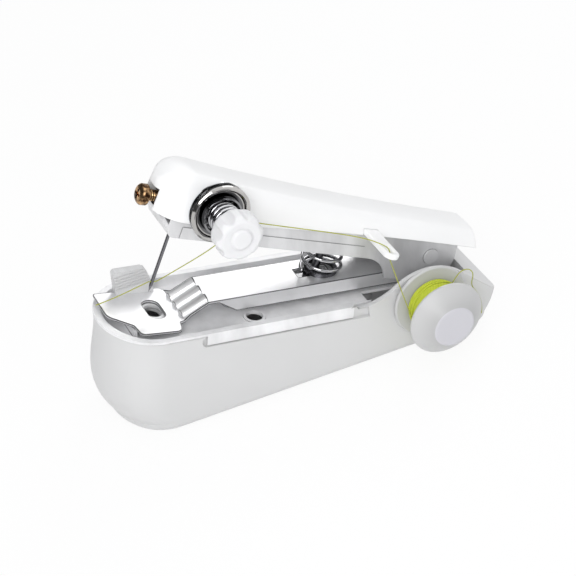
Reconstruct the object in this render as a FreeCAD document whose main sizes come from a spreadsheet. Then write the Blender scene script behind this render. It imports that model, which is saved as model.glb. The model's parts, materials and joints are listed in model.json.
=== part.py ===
import FreeCAD, Part
import math
import os
import Sketcher

# A hand-held manual sewing machine that is squeezed like a stapler.
# X runs along the base with the needle end at -X, the spool side is -Y and Z points up.
# The origin is the middle of the base's flat bottom. Lengths are millimetres, angles are degrees.

VECTOR = FreeCAD.Vector

DIMENSIONS = {
    # base moulding
    "base_front": 59.4, "base_rear": 61.0, "base_width": 33.9, "shell_height": 36.0, "wall": 1.2,
    "bottom_thick": 2.0, "bottom_round": 4.0, "belly_height": 14.0, "waist_height": 25.0,
    "front_foot": -0.6, "front_belly": 2.9, "front_waist": 1.1, "rear_foot": 3.5, "rear_taper": 1.0,
    "side_foot": 0.75, "side_belly": 1.15, "side_waist": 0.45,
    "nose_depth": 15.0, "nose_corner": 13.5, "rear_corner": 5.0,
    "rim_front": 34.81, "rim_slope": 9.34, "trough_x": 13.5, "rise_x": 26.0, "rise_angle": 32.0,
    "crest_radius": 18.0, "fall_angle": 42.0, "cavity_rear": 51.0,
    "grip_front": -33.0, "grip_rear": 17.0, "grip_height": 3.3, "grip_depth": 0.6,
    "boss_radius": 3.6, "front_boss_x": -20.0, "rear_boss_x": 22.0,
    "screw_radius": 1.5, "screw_head_radius": 2.8, "screw_head": 1.8, "screw_reach": 11.0,
    # steel frame tray, measured from the rim's front end along the rim
    "sheet": 0.8, "lip_rear": 73.4, "tub_rear": 80.4, "tub_fit": 1.35, "tub_wall": 0.6, "tub_round": 2.0,
    "tray_depth": 3.0, "fold_thick": 0.5, "strip_end": 108.4, "strip_half": 6.2,
    "hole_x": -15.3, "hole_near": 8.4, "hole_radius": 2.5, "hole_collar": 0.7, "hole_rise": 0.35,
    "upright_outer": 5.8, "upright_thick": 1.0, "upright_radius": 3.2,
    # hinge
    "hinge_x": 42.0, "hinge_z": 25.0, "pin_radius": 1.5, "running": 0.05, "pin_head": 0.5,
    "pin_head_radius": 2.4,
    # arm channel and cover, measured from the hinge along and square to the arm
    "arm_tilt": 25.4, "arm_half": 8.1, "arm_sheet": 0.9, "web_top": 5.1, "arm_lower": -2.7,
    "arm_rear": -8.0, "arm_front": 89.0, "chin_front": 91.5, "chin_nose": 7.0,
    "ear_front": 13.0, "ear_depth": 8.8,
    "cover_half": 9.8, "crease_half": 6.9, "cover_wall": 0.9, "crown_radius": 36.0, "crown_rise": 0.67,
    "cover_round": 2.6, "nose_rise": 0.9, "nose_drop": 6.0,
    "cover_rear": -13.4, "cover_mid": 38.5, "cover_shoulder": 83.6, "cover_front": 93.0,
    "cover_low": 5.1, "cover_low_front": 2.9, "crease_rear": 8.6, "crease_mid": 11.1,
    "crease_shoulder": 15.6, "crease_front": 16.1,
    # needle, its block and its screw
    "needle_u": 82.6, "needle_top": 8.2, "needle_shank": 1.0, "needle_blade": 0.5, "needle_tip": -24.6,
    "eye_height": 3.4, "eye_long": 1.3, "eye_wide": 0.6, "block_rear": 79.8, "block_front": 88.0,
    "block_low": -1.5, "block_top": 9.0, "clamp_v": 5.5, "clamp_head_radius": 3.0, "clamp_head_u": 93.7,
    "clamp_head": 2.5,
    # thread tension set
    "tension_u": 76.6, "tension_v": 8.2, "stud_radius": 1.6, "stud_end": 24.5, "lug_inner": 5.0,
    "disc_radius": 8.7, "disc_sheet": 0.4, "disc_gap_n": 11.0, "thread_gap": 0.5, "cup_radius": 5.7,
    "tension_spring_radius": 3.9, "tension_wire": 1.1, "knob_inner": 19.5, "knob_outer": 26.5,
    "knob_radius": 6.8, "knob_lobe": 1.9, "lobe_depth": 1.0, "knob_boss": 2.6,
    # thread guide
    "guide_u": 24.6, "guide_v": 6.1, "guide_wide": 5.0, "guide_thick": 1.6, "guide_root": 6.8,
    "guide_tip": 24.0, "guide_hole_n": 20.4, "guide_hole_long": 4.0, "guide_hole_wide": 1.8,
    # presser
    "plate_front_x": -56.7, "plate_front_z": 35.95, "plate_slope": 14.6, "step_foot_x": -36.0,
    "step_top_x": -28.0, "step_top_z": 33.4, "presser_tilt": 9.93, "presser_end_x": 31.0,
    "presser_half": 6.9, "flange_depth": 4.5, "presser_ear": 4.2, "plate_near": 12.6, "plate_far": 10.2,
    "slot_front_x": -45.0, "slot_rear_x": -40.1, "slot_far": 4.2, "slot_near": 5.4, "flute_rise": 1.2,
    "flute_half": 1.9,
    "tab_thick": 2.7, "tab_height": 7.3, "lug_height": 5.6, "ridge_pitch": 1.0, "ridge_depth": 0.3,
    # return spring and its limit post
    "spring_x": 9.8, "spring_wire": 0.9, "spring_foot": 5.9, "spring_head": 5.2, "spring_reach": 16.4,
    "seat_radius": 4.9, "seat_hole": 3.8, "seat_rim": 1.6, "post_u": 32.0, "post_radius": 1.2,
    "post_head_v": -14.4, "post_head_radius": 2.6,
    # spool
    "spool_x": 36.1, "spool_z": 17.74, "spool_radius": 11.6, "spool_inner": 17.7, "spool_outer": 29.0,
    "flange": 1.4, "barrel_radius": 4.5, "axle_radius": 2.0, "cap_reach": 4.6, "cap_radius": 6.0,
    "pack_radius": 7.5, "thread_radius": 0.15, "wound_radius": 0.23, "wound_pitch": 0.9,
    # looper drive under the throat plate
    "looper_x": -33.0, "looper_z": 10.0, "looper_radius": 1.5, "hook_n": 0.9, "hook_thick": 1.2,
    "crank_reach": 5.3, "crank_n": 6.3, "drive_u": -3.47, "drive_v": -10.44, "drive_pin": 1.2,
    "link_n": 8.45, "link_thick": 1.2, "link_half": 2.6,
}

doc = FreeCAD.newDocument("sewing_machine")
sheet = doc.addObject("Spreadsheet::Sheet", "sizes")


class Size:
    """A number held together with the sheet formula that gives it."""

    def __init__(self, value, text):
        self.value = value
        self.text = text

    def __add__(self, other):
        other = as_size(other)
        return Size(self.value + other.value, f"({self.text} + {other.text})")

    def __sub__(self, other):
        other = as_size(other)
        return Size(self.value - other.value, f"({self.text} - {other.text})")

    def __mul__(self, other):
        other = as_size(other)
        return Size(self.value * other.value, f"({self.text} * {other.text})")

    def __truediv__(self, other):
        other = as_size(other)
        return Size(self.value / other.value, f"({self.text} / {other.text})")

    def __neg__(self):
        return Size(-self.value, f"(-1 * {self.text})")

    def __radd__(self, other):
        return as_size(other) + self

    def __rsub__(self, other):
        return as_size(other) - self


def as_size(item):
    """Turn a plain number into a Size."""
    return item if isinstance(item, Size) else Size(float(item), repr(float(item)))


def sine(angle):
    return Size(math.sin(math.radians(angle.value)), f"sin({angle.text} * 1 deg)")


def cosine(angle):
    return Size(math.cos(math.radians(angle.value)), f"cos({angle.text} * 1 deg)")


def root(size):
    return Size(math.sqrt(size.value), f"sqrt({size.text})")


class Dimensions:
    """The sheet's cells, read by name."""

    def __init__(self, table):
        for row, (name, value) in enumerate(table.items(), start=1):
            sheet.set(f"A{row}", name)
            sheet.set(f"B{row}", str(value))
            sheet.setAlias(f"B{row}", name)
            setattr(self, name, Size(float(value), f"sizes.{name}"))


dim = Dimensions(DIMENSIONS)
doc.recompute()
nodes = []


# Drawing helpers

def origin_feature(body, role):
    """Find one of the body's own origin planes or axes."""
    return next(item for item in body.Origin.OriginFeatures if item.Role == role)


def new_body(label):
    """Start a sub-part that is written to its own file."""
    body = doc.addObject("PartDesign::Body", label)
    body.Label = label
    nodes.append(body)
    return body


def bind(item, path, size):
    """Tie a property to the sheet."""
    item.setExpression(path, as_size(size).text)


def place(body, x, z, tilt=0, y=0):
    """Set the sub-part's origin in the X-Z plane and turn it about Y."""
    turn = FreeCAD.Rotation(VECTOR(0, 1, 0), as_size(tilt).value)
    base = VECTOR(as_size(x).value, as_size(y).value, as_size(z).value)
    body.Placement = FreeCAD.Placement(base, turn)
    bind(body, "Placement.Base.x", x)
    bind(body, "Placement.Base.y", y)
    bind(body, "Placement.Base.z", z)


def sketch_on(body, plane, offset=0):
    """Add a sketch on an origin plane, moved along the plane's normal."""
    sketch = body.newObject("Sketcher::SketchObject", f"{body.Name}_sketch")
    sketch.AttachmentSupport = [(origin_feature(body, plane), "")]
    sketch.MapMode = "FlatFace"
    bind(sketch, "AttachmentOffset.Base.z", offset)
    return sketch


def arc_between(start, end, radius):
    """A circular edge under a half turn: a positive radius turns left, a negative one right."""
    chord = end - start
    left = VECTOR(-chord.y, chord.x, 0).normalize()
    height = math.sqrt(max(radius * radius - chord.Length * chord.Length / 4, 0))
    centre = start + chord * 0.5 + left * math.copysign(height, radius)
    first, last = (start, end) if radius > 0 else (end, start)
    angles = [math.atan2(p.y - centre.y, p.x - centre.x) for p in (first, last)]
    return Part.ArcOfCircle(Part.Circle(centre, VECTOR(0, 0, 1), abs(radius)), *angles)


def outline(sketch, points, radii=None):
    """Close a loop through the points. radii gives the arc that leaves a point."""
    radii = radii or {}
    count = len(points)
    first = sketch.GeometryCount
    corners = [VECTOR(as_size(x).value, as_size(y).value, 0) for x, y in points]
    for index in range(count):
        start, end = corners[index], corners[(index + 1) % count]
        if index in radii:
            sketch.addGeometry(arc_between(start, end, as_size(radii[index]).value), False)
        else:
            sketch.addGeometry(Part.LineSegment(start, end), False)

    def start_of(index):
        return 2 if index in radii and as_size(radii[index]).value < 0 else 1

    for index, (x, y) in enumerate(points):
        follower = (index + 1) % count
        sketch.addConstraint(Sketcher.Constraint(
            "Coincident", first + index, 3 - start_of(index), first + follower, start_of(follower)))
        for kind, size in (("DistanceX", x), ("DistanceY", y)):
            rule = sketch.addConstraint(Sketcher.Constraint(
                kind, -1, 1, first + index, start_of(index), as_size(size).value))
            bind(sketch, f"Constraints[{rule}]", size)
    for index, radius in radii.items():
        size = as_size(radius)
        size = size if size.value > 0 else -size
        rule = sketch.addConstraint(Sketcher.Constraint("Radius", first + index, size.value))
        bind(sketch, f"Constraints[{rule}]", size)


def circle(sketch, x, y, radius):
    """Add a full circle."""
    centre = VECTOR(as_size(x).value, as_size(y).value, 0)
    item = sketch.addGeometry(Part.Circle(centre, VECTOR(0, 0, 1), as_size(radius).value), False)
    for kind, size in (("DistanceX", x), ("DistanceY", y)):
        rule = sketch.addConstraint(Sketcher.Constraint(kind, -1, 1, item, 3, as_size(size).value))
        bind(sketch, f"Constraints[{rule}]", size)
    rule = sketch.addConstraint(Sketcher.Constraint("Radius", item, as_size(radius).value))
    bind(sketch, f"Constraints[{rule}]", radius)


def rectangle(sketch, x_low, x_high, y_low, y_high):
    """Add a rectangle."""
    outline(sketch, [(x_low, y_low), (x_high, y_low), (x_high, y_high), (x_low, y_high)])


def rounded_slot(sketch, x_low, x_high, y_low, y_high):
    """Add a rectangle with half-round ends at its low and high y."""
    radius = (as_size(x_high) - x_low) / 2
    middle = as_size(x_low) + radius
    outline(sketch, [(x_low, y_low + radius), (middle, y_low), (x_high, y_low + radius),
                     (x_high, y_high - radius), (middle, y_high), (x_low, y_high - radius)],
            {0: radius, 1: radius, 3: radius, 4: radius})


def rounded_corner(before, corner, after, reach):
    """Where an arc that starts a reach from a corner meets its two legs, and the arc's radius."""
    legs = []
    for x, y in (before, after):
        across, up = x - corner[0], y - corner[1]
        length = root(across * across + up * up)
        legs.append((across / length, up / length))
    meeting = legs[0][0] * legs[1][0] + legs[0][1] * legs[1][1]
    radius = reach * root((1 - meeting) / (1 + meeting))
    first, last = [(corner[0] + across * reach, corner[1] + up * reach) for across, up in legs]
    return first, last, radius


def pad(body, sketch, length, symmetric=False):
    """Add material square to the sketch."""
    feature = body.newObject("PartDesign::Pad", f"{body.Name}_pad")
    feature.Profile = sketch
    feature.SideType = "Symmetric" if symmetric else "One side"
    bind(feature, "Length", length)
    doc.recompute()
    return feature


def pocket(body, sketch, length, symmetric=False, flip=False):
    """Remove material square to the sketch, and make sure that some went."""
    before = body.Shape.Volume
    feature = body.newObject("PartDesign::Pocket", f"{body.Name}_pocket")
    feature.Profile = sketch
    feature.SideType = "Symmetric" if symmetric else "One side"
    feature.Reversed = flip
    bind(feature, "Length", length)
    doc.recompute()
    if body.Shape.Volume > before - 1e-6:
        raise RuntimeError(f"a pocket of {body.Label} cuts nothing")
    return feature


def loft(body, kind, sections, ruled):
    """Join sections into a solid that is added or taken away."""
    feature = body.newObject(f"PartDesign::{kind}", f"{body.Name}_loft")
    feature.Profile = sections[0]
    feature.Sections = sections[1:]
    feature.Ruled = ruled
    doc.recompute()
    return feature


def revolved(label, plane, axis, points, radii=None):
    """Make a turned sub-part from a half profile."""
    body = new_body(label)
    sketch = sketch_on(body, plane)
    outline(sketch, points, radii)
    feature = body.newObject("PartDesign::Revolution", f"{label}_turn")
    feature.Profile = sketch
    feature.ReferenceAxis = (origin_feature(body, axis), [""])
    feature.Angle = 360.0
    doc.recompute()
    return body


def turned_across(label, stations):
    """Turn a piece about Y. stations are pairs of radius and distance n towards the spool side."""
    return revolved(label, "XY_Plane", "Y_Axis", [(radius, -as_size(n)) for radius, n in stations])


def round_edges(body, chosen, radius):
    """Round the edges that the test picks out."""
    tip = body.Tip
    names = [f"Edge{i}" for i, edge in enumerate(tip.Shape.Edges, start=1) if chosen(edge)]
    feature = body.newObject("PartDesign::Fillet", f"{body.Name}_round")
    feature.Base = (tip, names)
    bind(feature, "Radius", radius)
    doc.recompute()
    return feature


def solid_node(label, shape, x=0, z=0, tilt=0):
    """Keep a shape that is worked out along a path as a sub-part."""
    feature = doc.addObject("Part::Feature", label)
    feature.Label = label
    feature.Shape = shape
    place(feature, x, z, tilt)
    nodes.append(feature)
    return feature


# Lines that several pieces share

def arm_point(u, v):
    """World X and Z of a point u along the arm and v square to it, with the arm at rest."""
    lean, level = sine(dim.arm_tilt), cosine(dim.arm_tilt)
    return dim.hinge_x - u * level + v * lean, dim.hinge_z + u * lean + v * level


def on_arm(body, u=0, v=0):
    """Place a sub-part that is drawn in the arm's own directions."""
    x, z = arm_point(as_size(u), as_size(v))
    place(body, x, z, dim.arm_tilt)


def rim_height(x):
    """Height of the base's sloping rim."""
    return dim.rim_front - (x + dim.base_front) * sine(dim.rim_slope) / cosine(dim.rim_slope)


def tray_floor(x):
    """Height of the top of the tray's floor."""
    return rim_height(x) - dim.tray_depth / cosine(dim.rim_slope)


def rim_frame(x, z):
    """A world point in the directions of the rim, from the rim's front end."""
    along, drop = x + dim.base_front, z - dim.rim_front
    lean, level = sine(dim.rim_slope), cosine(dim.rim_slope)
    return along * level - drop * lean, along * lean + drop * level


def plate_top(x):
    """Height of the presser's front plate."""
    return dim.plate_front_z - (x - dim.plate_front_x) * sine(dim.plate_slope) / cosine(dim.plate_slope)


def presser_top(x):
    """Height of the presser's long arm."""
    return dim.step_top_z - (x - dim.step_top_x) * sine(dim.presser_tilt) / cosine(dim.presser_tilt)


def boat_outline(sketch, front, rear, half, nose, nose_corner, rear_corner, taper=0):
    """Plan of the base: a bowed front with rounded shoulders, tapering sides and a square stern."""
    bow = (nose * nose + (half - nose_corner) * (half - nose_corner) - nose_corner * nose_corner) \
        / ((nose - nose_corner) * 2)
    touch_x = front + bow + bow * (nose - bow) / (bow - nose_corner)
    touch_y = bow * (half - nose_corner) / (bow - nose_corner)
    stern = half - taper
    outline(sketch, [
        (front + nose, -half), (rear - rear_corner, -stern), (rear, rear_corner - stern),
        (rear, stern - rear_corner), (rear - rear_corner, stern), (front + nose, half),
        (touch_x, touch_y), (touch_x, -touch_y)],
        {1: rear_corner, 3: rear_corner, 5: nose_corner, 6: bow, 7: nose_corner})


# Base moulding

def base_shell():
    """Hollow moulding that bulges below its sloping rim and rises to a hump over the hinge end."""
    body = new_body("base_shell")
    half = dim.base_width / 2
    level_with_rim = as_size(0)

    def section(height, front_out, side_out, rear_in, inset=level_with_rim):
        """Plan of the moulding at a height, let out from the rim's plan and drawn in all round."""
        sketch = sketch_on(body, "XY_Plane", height)
        boat_outline(sketch, inset - dim.base_front - front_out, dim.base_rear - rear_in - inset,
                     half + side_out - inset, dim.nose_depth - inset, dim.nose_corner - inset,
                     dim.rear_corner - inset, dim.rear_taper)
        return sketch

    edge = dim.bottom_round
    foot = dim.front_foot, dim.side_foot, dim.rear_foot
    loft(body, "AdditiveLoft", [
        section(edge, *foot),
        section(dim.belly_height, dim.front_belly, dim.side_belly, level_with_rim),
        section(dim.waist_height, dim.front_waist, dim.side_waist, level_with_rim),
        section(dim.shell_height, level_with_rim, level_with_rim, level_with_rim)], False)
    turns = [as_size(angle) for angle in (0.0, 30.0, 60.0, 90.0)]
    loft(body, "AdditiveLoft", [
        section(edge * (1 - sine(turn)), *foot, edge * (1 - cosine(turn))) for turn in turns], False)

    rim_drop = dim.sheet / cosine(dim.rim_slope)
    lean, level = sine(dim.rim_slope), cosine(dim.rim_slope)
    trough_z = rim_height(dim.trough_x) - rim_drop
    trough_radius = (dim.rise_x - dim.trough_x) / (sine(dim.rise_angle) + lean)
    rise_z = trough_z + trough_radius * (level - cosine(dim.rise_angle))
    fall_x = dim.rise_x + dim.crest_radius * (sine(dim.rise_angle) + sine(dim.fall_angle))
    fall_z = rise_z + dim.crest_radius * (cosine(dim.fall_angle) - cosine(dim.rise_angle))
    above = dim.shell_height * 2
    ahead, astern = -dim.base_front - 5, dim.base_rear + 5
    stern_z = fall_z - (astern - fall_x) * sine(dim.fall_angle) / cosine(dim.fall_angle)
    sketch = sketch_on(body, "XZ_Plane")
    outline(sketch, [
        (ahead, rim_height(ahead) - rim_drop), (dim.trough_x, trough_z), (dim.rise_x, rise_z),
        (fall_x, fall_z), (astern, stern_z), (astern, above), (ahead, above)],
        {1: trough_radius, 2: -dim.crest_radius})
    pocket(body, sketch, dim.base_width * 2, symmetric=True)

    sections = []
    belly = dim.wall + 0.4 - dim.side_belly
    for height, inset, front_out in ((dim.bottom_thick, dim.wall + 0.9, level_with_rim),
                                     (dim.belly_height, belly, dim.front_waist),
                                     (dim.shell_height, dim.wall, level_with_rim)):
        sketch = sketch_on(body, "XY_Plane", height)
        boat_outline(sketch, inset - dim.base_front - front_out, dim.cavity_rear, half - inset,
                     dim.nose_depth - inset, dim.nose_corner - inset, dim.rear_corner - dim.wall,
                     dim.rear_taper)
        sections.append(sketch)
    loft(body, "SubtractiveLoft", sections, True)

    for side in (1, -1):
        sketch = sketch_on(body, "XZ_Plane", (half - dim.grip_depth - 0.2) * side)
        low, high = dim.grip_height + rim_drop, rim_drop
        outline(sketch, [(dim.grip_front, rim_height(dim.grip_front) - low),
                         (dim.grip_rear, rim_height(dim.grip_rear) - low),
                         (dim.grip_rear, rim_height(dim.grip_rear) - high),
                         (dim.grip_front, rim_height(dim.grip_front) - high),
                         (dim.grip_front - dim.grip_height / 2,
                          rim_height(dim.grip_front) - (low + high) / 2)],
                {3: dim.grip_height / 2, 4: dim.grip_height / 2})
        pocket(body, sketch, dim.wall * 2, flip=side > 0)

    for x in (dim.front_boss_x, dim.rear_boss_x):
        top = tray_floor(x + dim.boss_radius) - dim.sheet - 0.15
        sketch = sketch_on(body, "XY_Plane", dim.bottom_thick / 2)
        circle(sketch, x, 0, dim.boss_radius)
        pad(body, sketch, top - dim.bottom_thick / 2)
        sketch = sketch_on(body, "XY_Plane")
        circle(sketch, x, 0, dim.screw_radius + dim.running)
        pocket(body, sketch, dim.shell_height, flip=True)
        sketch = sketch_on(body, "XY_Plane")
        circle(sketch, x, 0, dim.screw_head_radius + dim.running)
        pocket(body, sketch, tray_floor(x) - dim.screw_reach, flip=True)

    sketch = sketch_on(body, "XZ_Plane")
    circle(sketch, dim.spool_x, dim.spool_z, dim.axle_radius)
    pocket(body, sketch, dim.base_width, flip=True)


def base_screws():
    """Two screws that hold the tray down from below."""
    screws = []
    for name, x in (("front", dim.front_boss_x), ("rear", dim.rear_boss_x)):
        head = doc.addObject("Part::Cylinder", f"{name}_screw_head")
        bind(head, "Radius", dim.screw_head_radius)
        bind(head, "Height", dim.screw_head)
        place(head, x, tray_floor(x) - dim.screw_reach - dim.screw_head)
        shank = doc.addObject("Part::Cylinder", f"{name}_screw_shank")
        bind(shank, "Radius", dim.screw_radius)
        bind(shank, "Height", dim.screw_reach)
        place(shank, x, tray_floor(x) - dim.screw_reach)
        screw = doc.addObject("Part::Fuse", f"{name}_base_screw")
        screw.Base, screw.Tool = head, shank
        screws.append(screw)
    group = doc.addObject("Part::Compound", "base_screws")
    group.Links = screws
    nodes.append(group)


def base_frame():
    """Steel tray with a lip over the rim, folded sides, a collared hole and two hinge uprights."""
    body = new_body("base_frame")
    place(body, -dim.base_front, dim.rim_front, dim.rim_slope)
    half = dim.base_width / 2
    corner, margin = as_size(2.0), as_size(0.2)

    def ring(height, inset, front, rear, taper):
        """Plan of the tray, drawn in from the base's rim."""
        sketch = sketch_on(body, "XY_Plane", height)
        boat_outline(sketch, front, rear, half - inset, dim.nose_depth - inset,
                     dim.nose_corner - inset, corner, taper)
        return sketch

    pad(body, ring(-dim.sheet, margin, margin, dim.lip_rear, 0), dim.sheet)
    foot = -dim.tray_depth - dim.sheet
    taper = dim.rear_taper * 0.75
    lead = 0.4
    outer = dim.tub_fit
    pad(body, ring(foot, outer, outer + lead, dim.tub_rear, taper), dim.tray_depth + dim.sheet / 2)
    inner = outer + dim.tub_wall
    pocket(body, ring(0, inner, inner + lead, dim.tub_rear + 5, taper), dim.tray_depth)
    floor = -dim.tray_depth.value

    def meets_floor(edge):
        """Tell the floor's bow and sides from its open rear end."""
        box = edge.BoundBox
        level = abs(box.ZMin - floor) < 0.01 and abs(box.ZMax - floor) < 0.01
        return level and box.XMin < dim.tub_rear.value - 1

    round_edges(body, meets_floor, dim.tub_round)
    sketch = sketch_on(body, "XY_Plane", foot)
    rectangle(sketch, dim.tub_rear - 1, dim.strip_end, -dim.strip_half, dim.strip_half)
    pad(body, sketch, dim.sheet)
    fold_front, _ = rim_frame(dim.grip_front, rim_height(dim.grip_front))
    fold, fold_low = half - margin, 0.35 - dim.sheet - dim.grip_height
    for inner_face in (fold - dim.fold_thick, -fold):
        sketch = sketch_on(body, "XZ_Plane", inner_face)
        rectangle(sketch, fold_front + 0.3, dim.lip_rear - 0.5, fold_low, -dim.sheet / 2)
        pad(body, sketch, dim.fold_thick)

    hinge_along, hinge_up = rim_frame(dim.hinge_x, dim.hinge_z)
    radius = dim.upright_radius
    spread = 5.5
    for inner_face in (dim.upright_outer - dim.upright_thick, -dim.upright_outer):
        sketch = sketch_on(body, "XZ_Plane", inner_face)
        outline(sketch, [(hinge_along - spread, foot), (hinge_along + spread, foot),
                         (hinge_along + radius, hinge_up), (hinge_along, hinge_up + radius),
                         (hinge_along - radius, hinge_up)],
                {2: radius, 3: radius})
        pad(body, sketch, dim.upright_thick)
    sketch = sketch_on(body, "XZ_Plane")
    circle(sketch, hinge_along, hinge_up, dim.pin_radius)
    pocket(body, sketch, dim.base_width, symmetric=True)

    hole_along, _ = rim_frame(dim.hole_x, tray_floor(dim.hole_x))
    sketch = sketch_on(body, "XY_Plane", -dim.tray_depth - dim.sheet / 2)
    circle(sketch, hole_along, -dim.hole_near, dim.hole_radius + dim.hole_collar)
    pad(body, sketch, dim.sheet / 2 + dim.hole_rise)
    sketch = sketch_on(body, "XY_Plane")
    needle_along, _ = rim_frame(dim.slot_front_x + 1.9, tray_floor(dim.slot_front_x))
    rounded_slot(sketch, needle_along - 3.0, needle_along + 3.0, as_size(-5.0), as_size(5.0))
    post_along, _ = rim_frame(dim.spring_x + 0.5, tray_floor(dim.spring_x))
    rectangle(sketch, post_along - 6.5, post_along + 5.5, as_size(-3.8), as_size(3.8))
    circle(sketch, hole_along, -dim.hole_near, dim.hole_radius)
    for x in (dim.front_boss_x, dim.rear_boss_x):
        along, _ = rim_frame(x, tray_floor(x))
        circle(sketch, along, 0, dim.screw_radius + 0.25)
    pocket(body, sketch, dim.tray_depth + dim.sheet * 2)


def throat_plate():
    """Needle plate on two folded legs, standing on the tray's floor below the presser plate."""
    body = new_body("throat_plate")
    front, rear, thick = as_size(-51.5), as_size(-37.5), as_size(1.0)
    gap = dim.sheet + 0.12

    def top(x):
        return plate_top(x) - gap

    sketch = sketch_on(body, "XZ_Plane")
    outline(sketch, [
        (front, tray_floor(front)), (front + thick, tray_floor(front + thick)),
        (front + thick, top(front + thick) - thick), (rear - thick, top(rear - thick) - thick * 0.8),
        (rear - thick, tray_floor(rear - thick)), (rear, tray_floor(rear)),
        (rear, top(rear)), (front, top(front))])
    pad(body, sketch, as_size(17.0), symmetric=True)
    sketch = sketch_on(body, "XY_Plane", dim.shell_height)
    rounded_slot(sketch, dim.slot_front_x, dim.slot_rear_x - 0.2, as_size(-3.2), as_size(3.2))
    pocket(body, sketch, dim.shell_height)


# Hinge

def hinge_pieces():
    outer = dim.arm_half + 0.1
    pin = turned_across("hinge_pin", [
        (0, outer + dim.pin_head), (dim.pin_head_radius, outer + dim.pin_head),
        (dim.pin_head_radius, outer), (dim.pin_radius, outer),
        (dim.pin_radius, -outer - 2.2), (0, -outer - 2.2)])
    place(pin, dim.hinge_x, dim.hinge_z)
    clip = turned_across("hinge_clip", [
        (dim.pin_radius, -outer - 0.1), (dim.pin_head_radius + 0.4, -outer - 0.1),
        (dim.pin_head_radius + 0.4, -outer - 0.8), (dim.pin_radius, -outer - 0.8)])
    place(clip, dim.hinge_x, dim.hinge_z)


# Arm

def arm_channel():
    """Folded steel channel: web on top, side walls, a sloping chin and two hinge ears."""
    body = new_body("arm_channel")
    on_arm(body)
    low, top = dim.arm_lower, dim.web_top
    ear = dim.ear_depth
    chin = [(dim.chin_front, 3.6), (dim.chin_front - 2.9, 0.2), (dim.chin_front - 4.9, low)]
    sketch = sketch_on(body, "XZ_Plane")
    outline(sketch, [(-dim.arm_rear, top), (-dim.arm_front, top)]
            + [(-u, v) for u, v in chin]
            + [(as_size(-21.5), low - 0.2), (-dim.ear_front, -ear), (as_size(0), -ear), (ear, 0)],
            {5: as_size(-9.0), 7: ear})
    pad(body, sketch, dim.arm_half * 2, symmetric=True)
    sketch = sketch_on(body, "XZ_Plane")
    fold = dim.arm_sheet * 1.2
    web = top - dim.arm_sheet
    inner = [(u - fold, v) for u, v in chin]
    outline(sketch, [(-dim.arm_rear + 5, web), (-dim.arm_front - 5, web), (-inner[0][0] - 5, inner[0][1])]
            + [(-u, v) for u, v in inner]
            + [(-inner[2][0], -ear * 2), (-dim.arm_rear + 5, -ear * 2)])
    pocket(body, sketch, (dim.arm_half - dim.arm_sheet) * 2, symmetric=True)

    round_nose(body, dim.chin_front, dim.arm_half, dim.chin_nose)
    bead = 0.25
    for face in (dim.arm_half - 0.1, -dim.arm_half - bead):
        sketch = sketch_on(body, "XZ_Plane", face)
        outline(sketch, [(as_size(-24.0), low + 0.1), (as_size(-24.0), low + 3.6),
                         (7.5 - dim.chin_front, low + 3.6), (7.5 - dim.chin_front, low + 0.1)])
        pad(body, sketch, as_size(bead + 0.1))
    sketch = sketch_on(body, "XY_Plane", top + 1)
    inside = dim.arm_half - dim.arm_sheet
    rectangle(sketch, -dim.arm_front - 5, as_size(-79.5), -inside, inside)
    pocket(body, sketch, dim.arm_sheet + 1)

    sketch = sketch_on(body, "XZ_Plane", dim.lug_inner)
    rectangle(sketch, -dim.tension_u - 2.7, 4.2 - dim.tension_u, web, dim.tension_v + 3.2)
    pad(body, sketch, dim.arm_sheet)
    sketch = sketch_on(body, "XZ_Plane")
    circle(sketch, -dim.tension_u, dim.tension_v, dim.stud_radius)
    pocket(body, sketch, dim.arm_half * 2, flip=True)

    sketch = sketch_on(body, "XZ_Plane", dim.arm_half - dim.arm_sheet)
    reach = 2.8
    outline(sketch, [(-dim.drive_u - reach, -ear + 2), (-dim.drive_u - reach, dim.drive_v),
                     (-dim.drive_u, dim.drive_v - reach), (-dim.drive_u + reach, dim.drive_v),
                     (-dim.drive_u + reach, -ear + 3)],
            {1: reach, 2: reach})
    pad(body, sketch, dim.arm_sheet)
    sketch = sketch_on(body, "XZ_Plane")
    circle(sketch, -dim.drive_u, dim.drive_v, dim.drive_pin)
    circle(sketch, 0, 0, dim.pin_radius + dim.running)
    pocket(body, sketch, dim.base_width, symmetric=True)

    sketch = sketch_on(body, "XY_Plane", top + 1)
    for u in COVER_SCREWS:
        circle(sketch, -u, 0, 1.2)
    circle(sketch, -dim.post_u, 0, dim.post_radius)
    pocket(body, sketch, dim.arm_sheet + 2)


COVER_SCREWS = (15.0, 58.0)


def round_nose(body, front, half, nose):
    """Round both front corners of an arm piece in plan."""
    for side in (1, -1):
        sketch = sketch_on(body, "XY_Plane", dim.crease_front * 2)
        outline(sketch, [(nose - front, half * side), (-front, (half - nose) * side),
                         (-front - 5, (half - nose) * side), (-front - 5, (half + 5) * side),
                         (nose - front, (half + 5) * side)],
                {0: nose * side})
        pocket(body, sketch, dim.crease_front * 4)


def cover_section(body, u, low, crease, inset=0, drop=0, narrow=1):
    """Cross-section of the cover: drafted sides, soft shoulders and a crowned top, narrowed at the nose."""
    sketch = sketch_on(body, "YZ_Plane", -u)
    foot = (dim.cover_half - inset) * narrow, low - drop
    corner = (dim.crease_half - inset) * narrow, crease - inset
    crown = as_size(0), crease - inset + dim.crown_rise * narrow
    side, shoulder, radius = rounded_corner(foot, corner, crown, dim.cover_round * narrow)
    far_side = [(-y, z) for y, z in (shoulder, side, foot)]
    outline(sketch, [foot, side, shoulder] + far_side, {1: radius, 2: dim.crown_radius, 3: radius})
    return sketch


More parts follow.
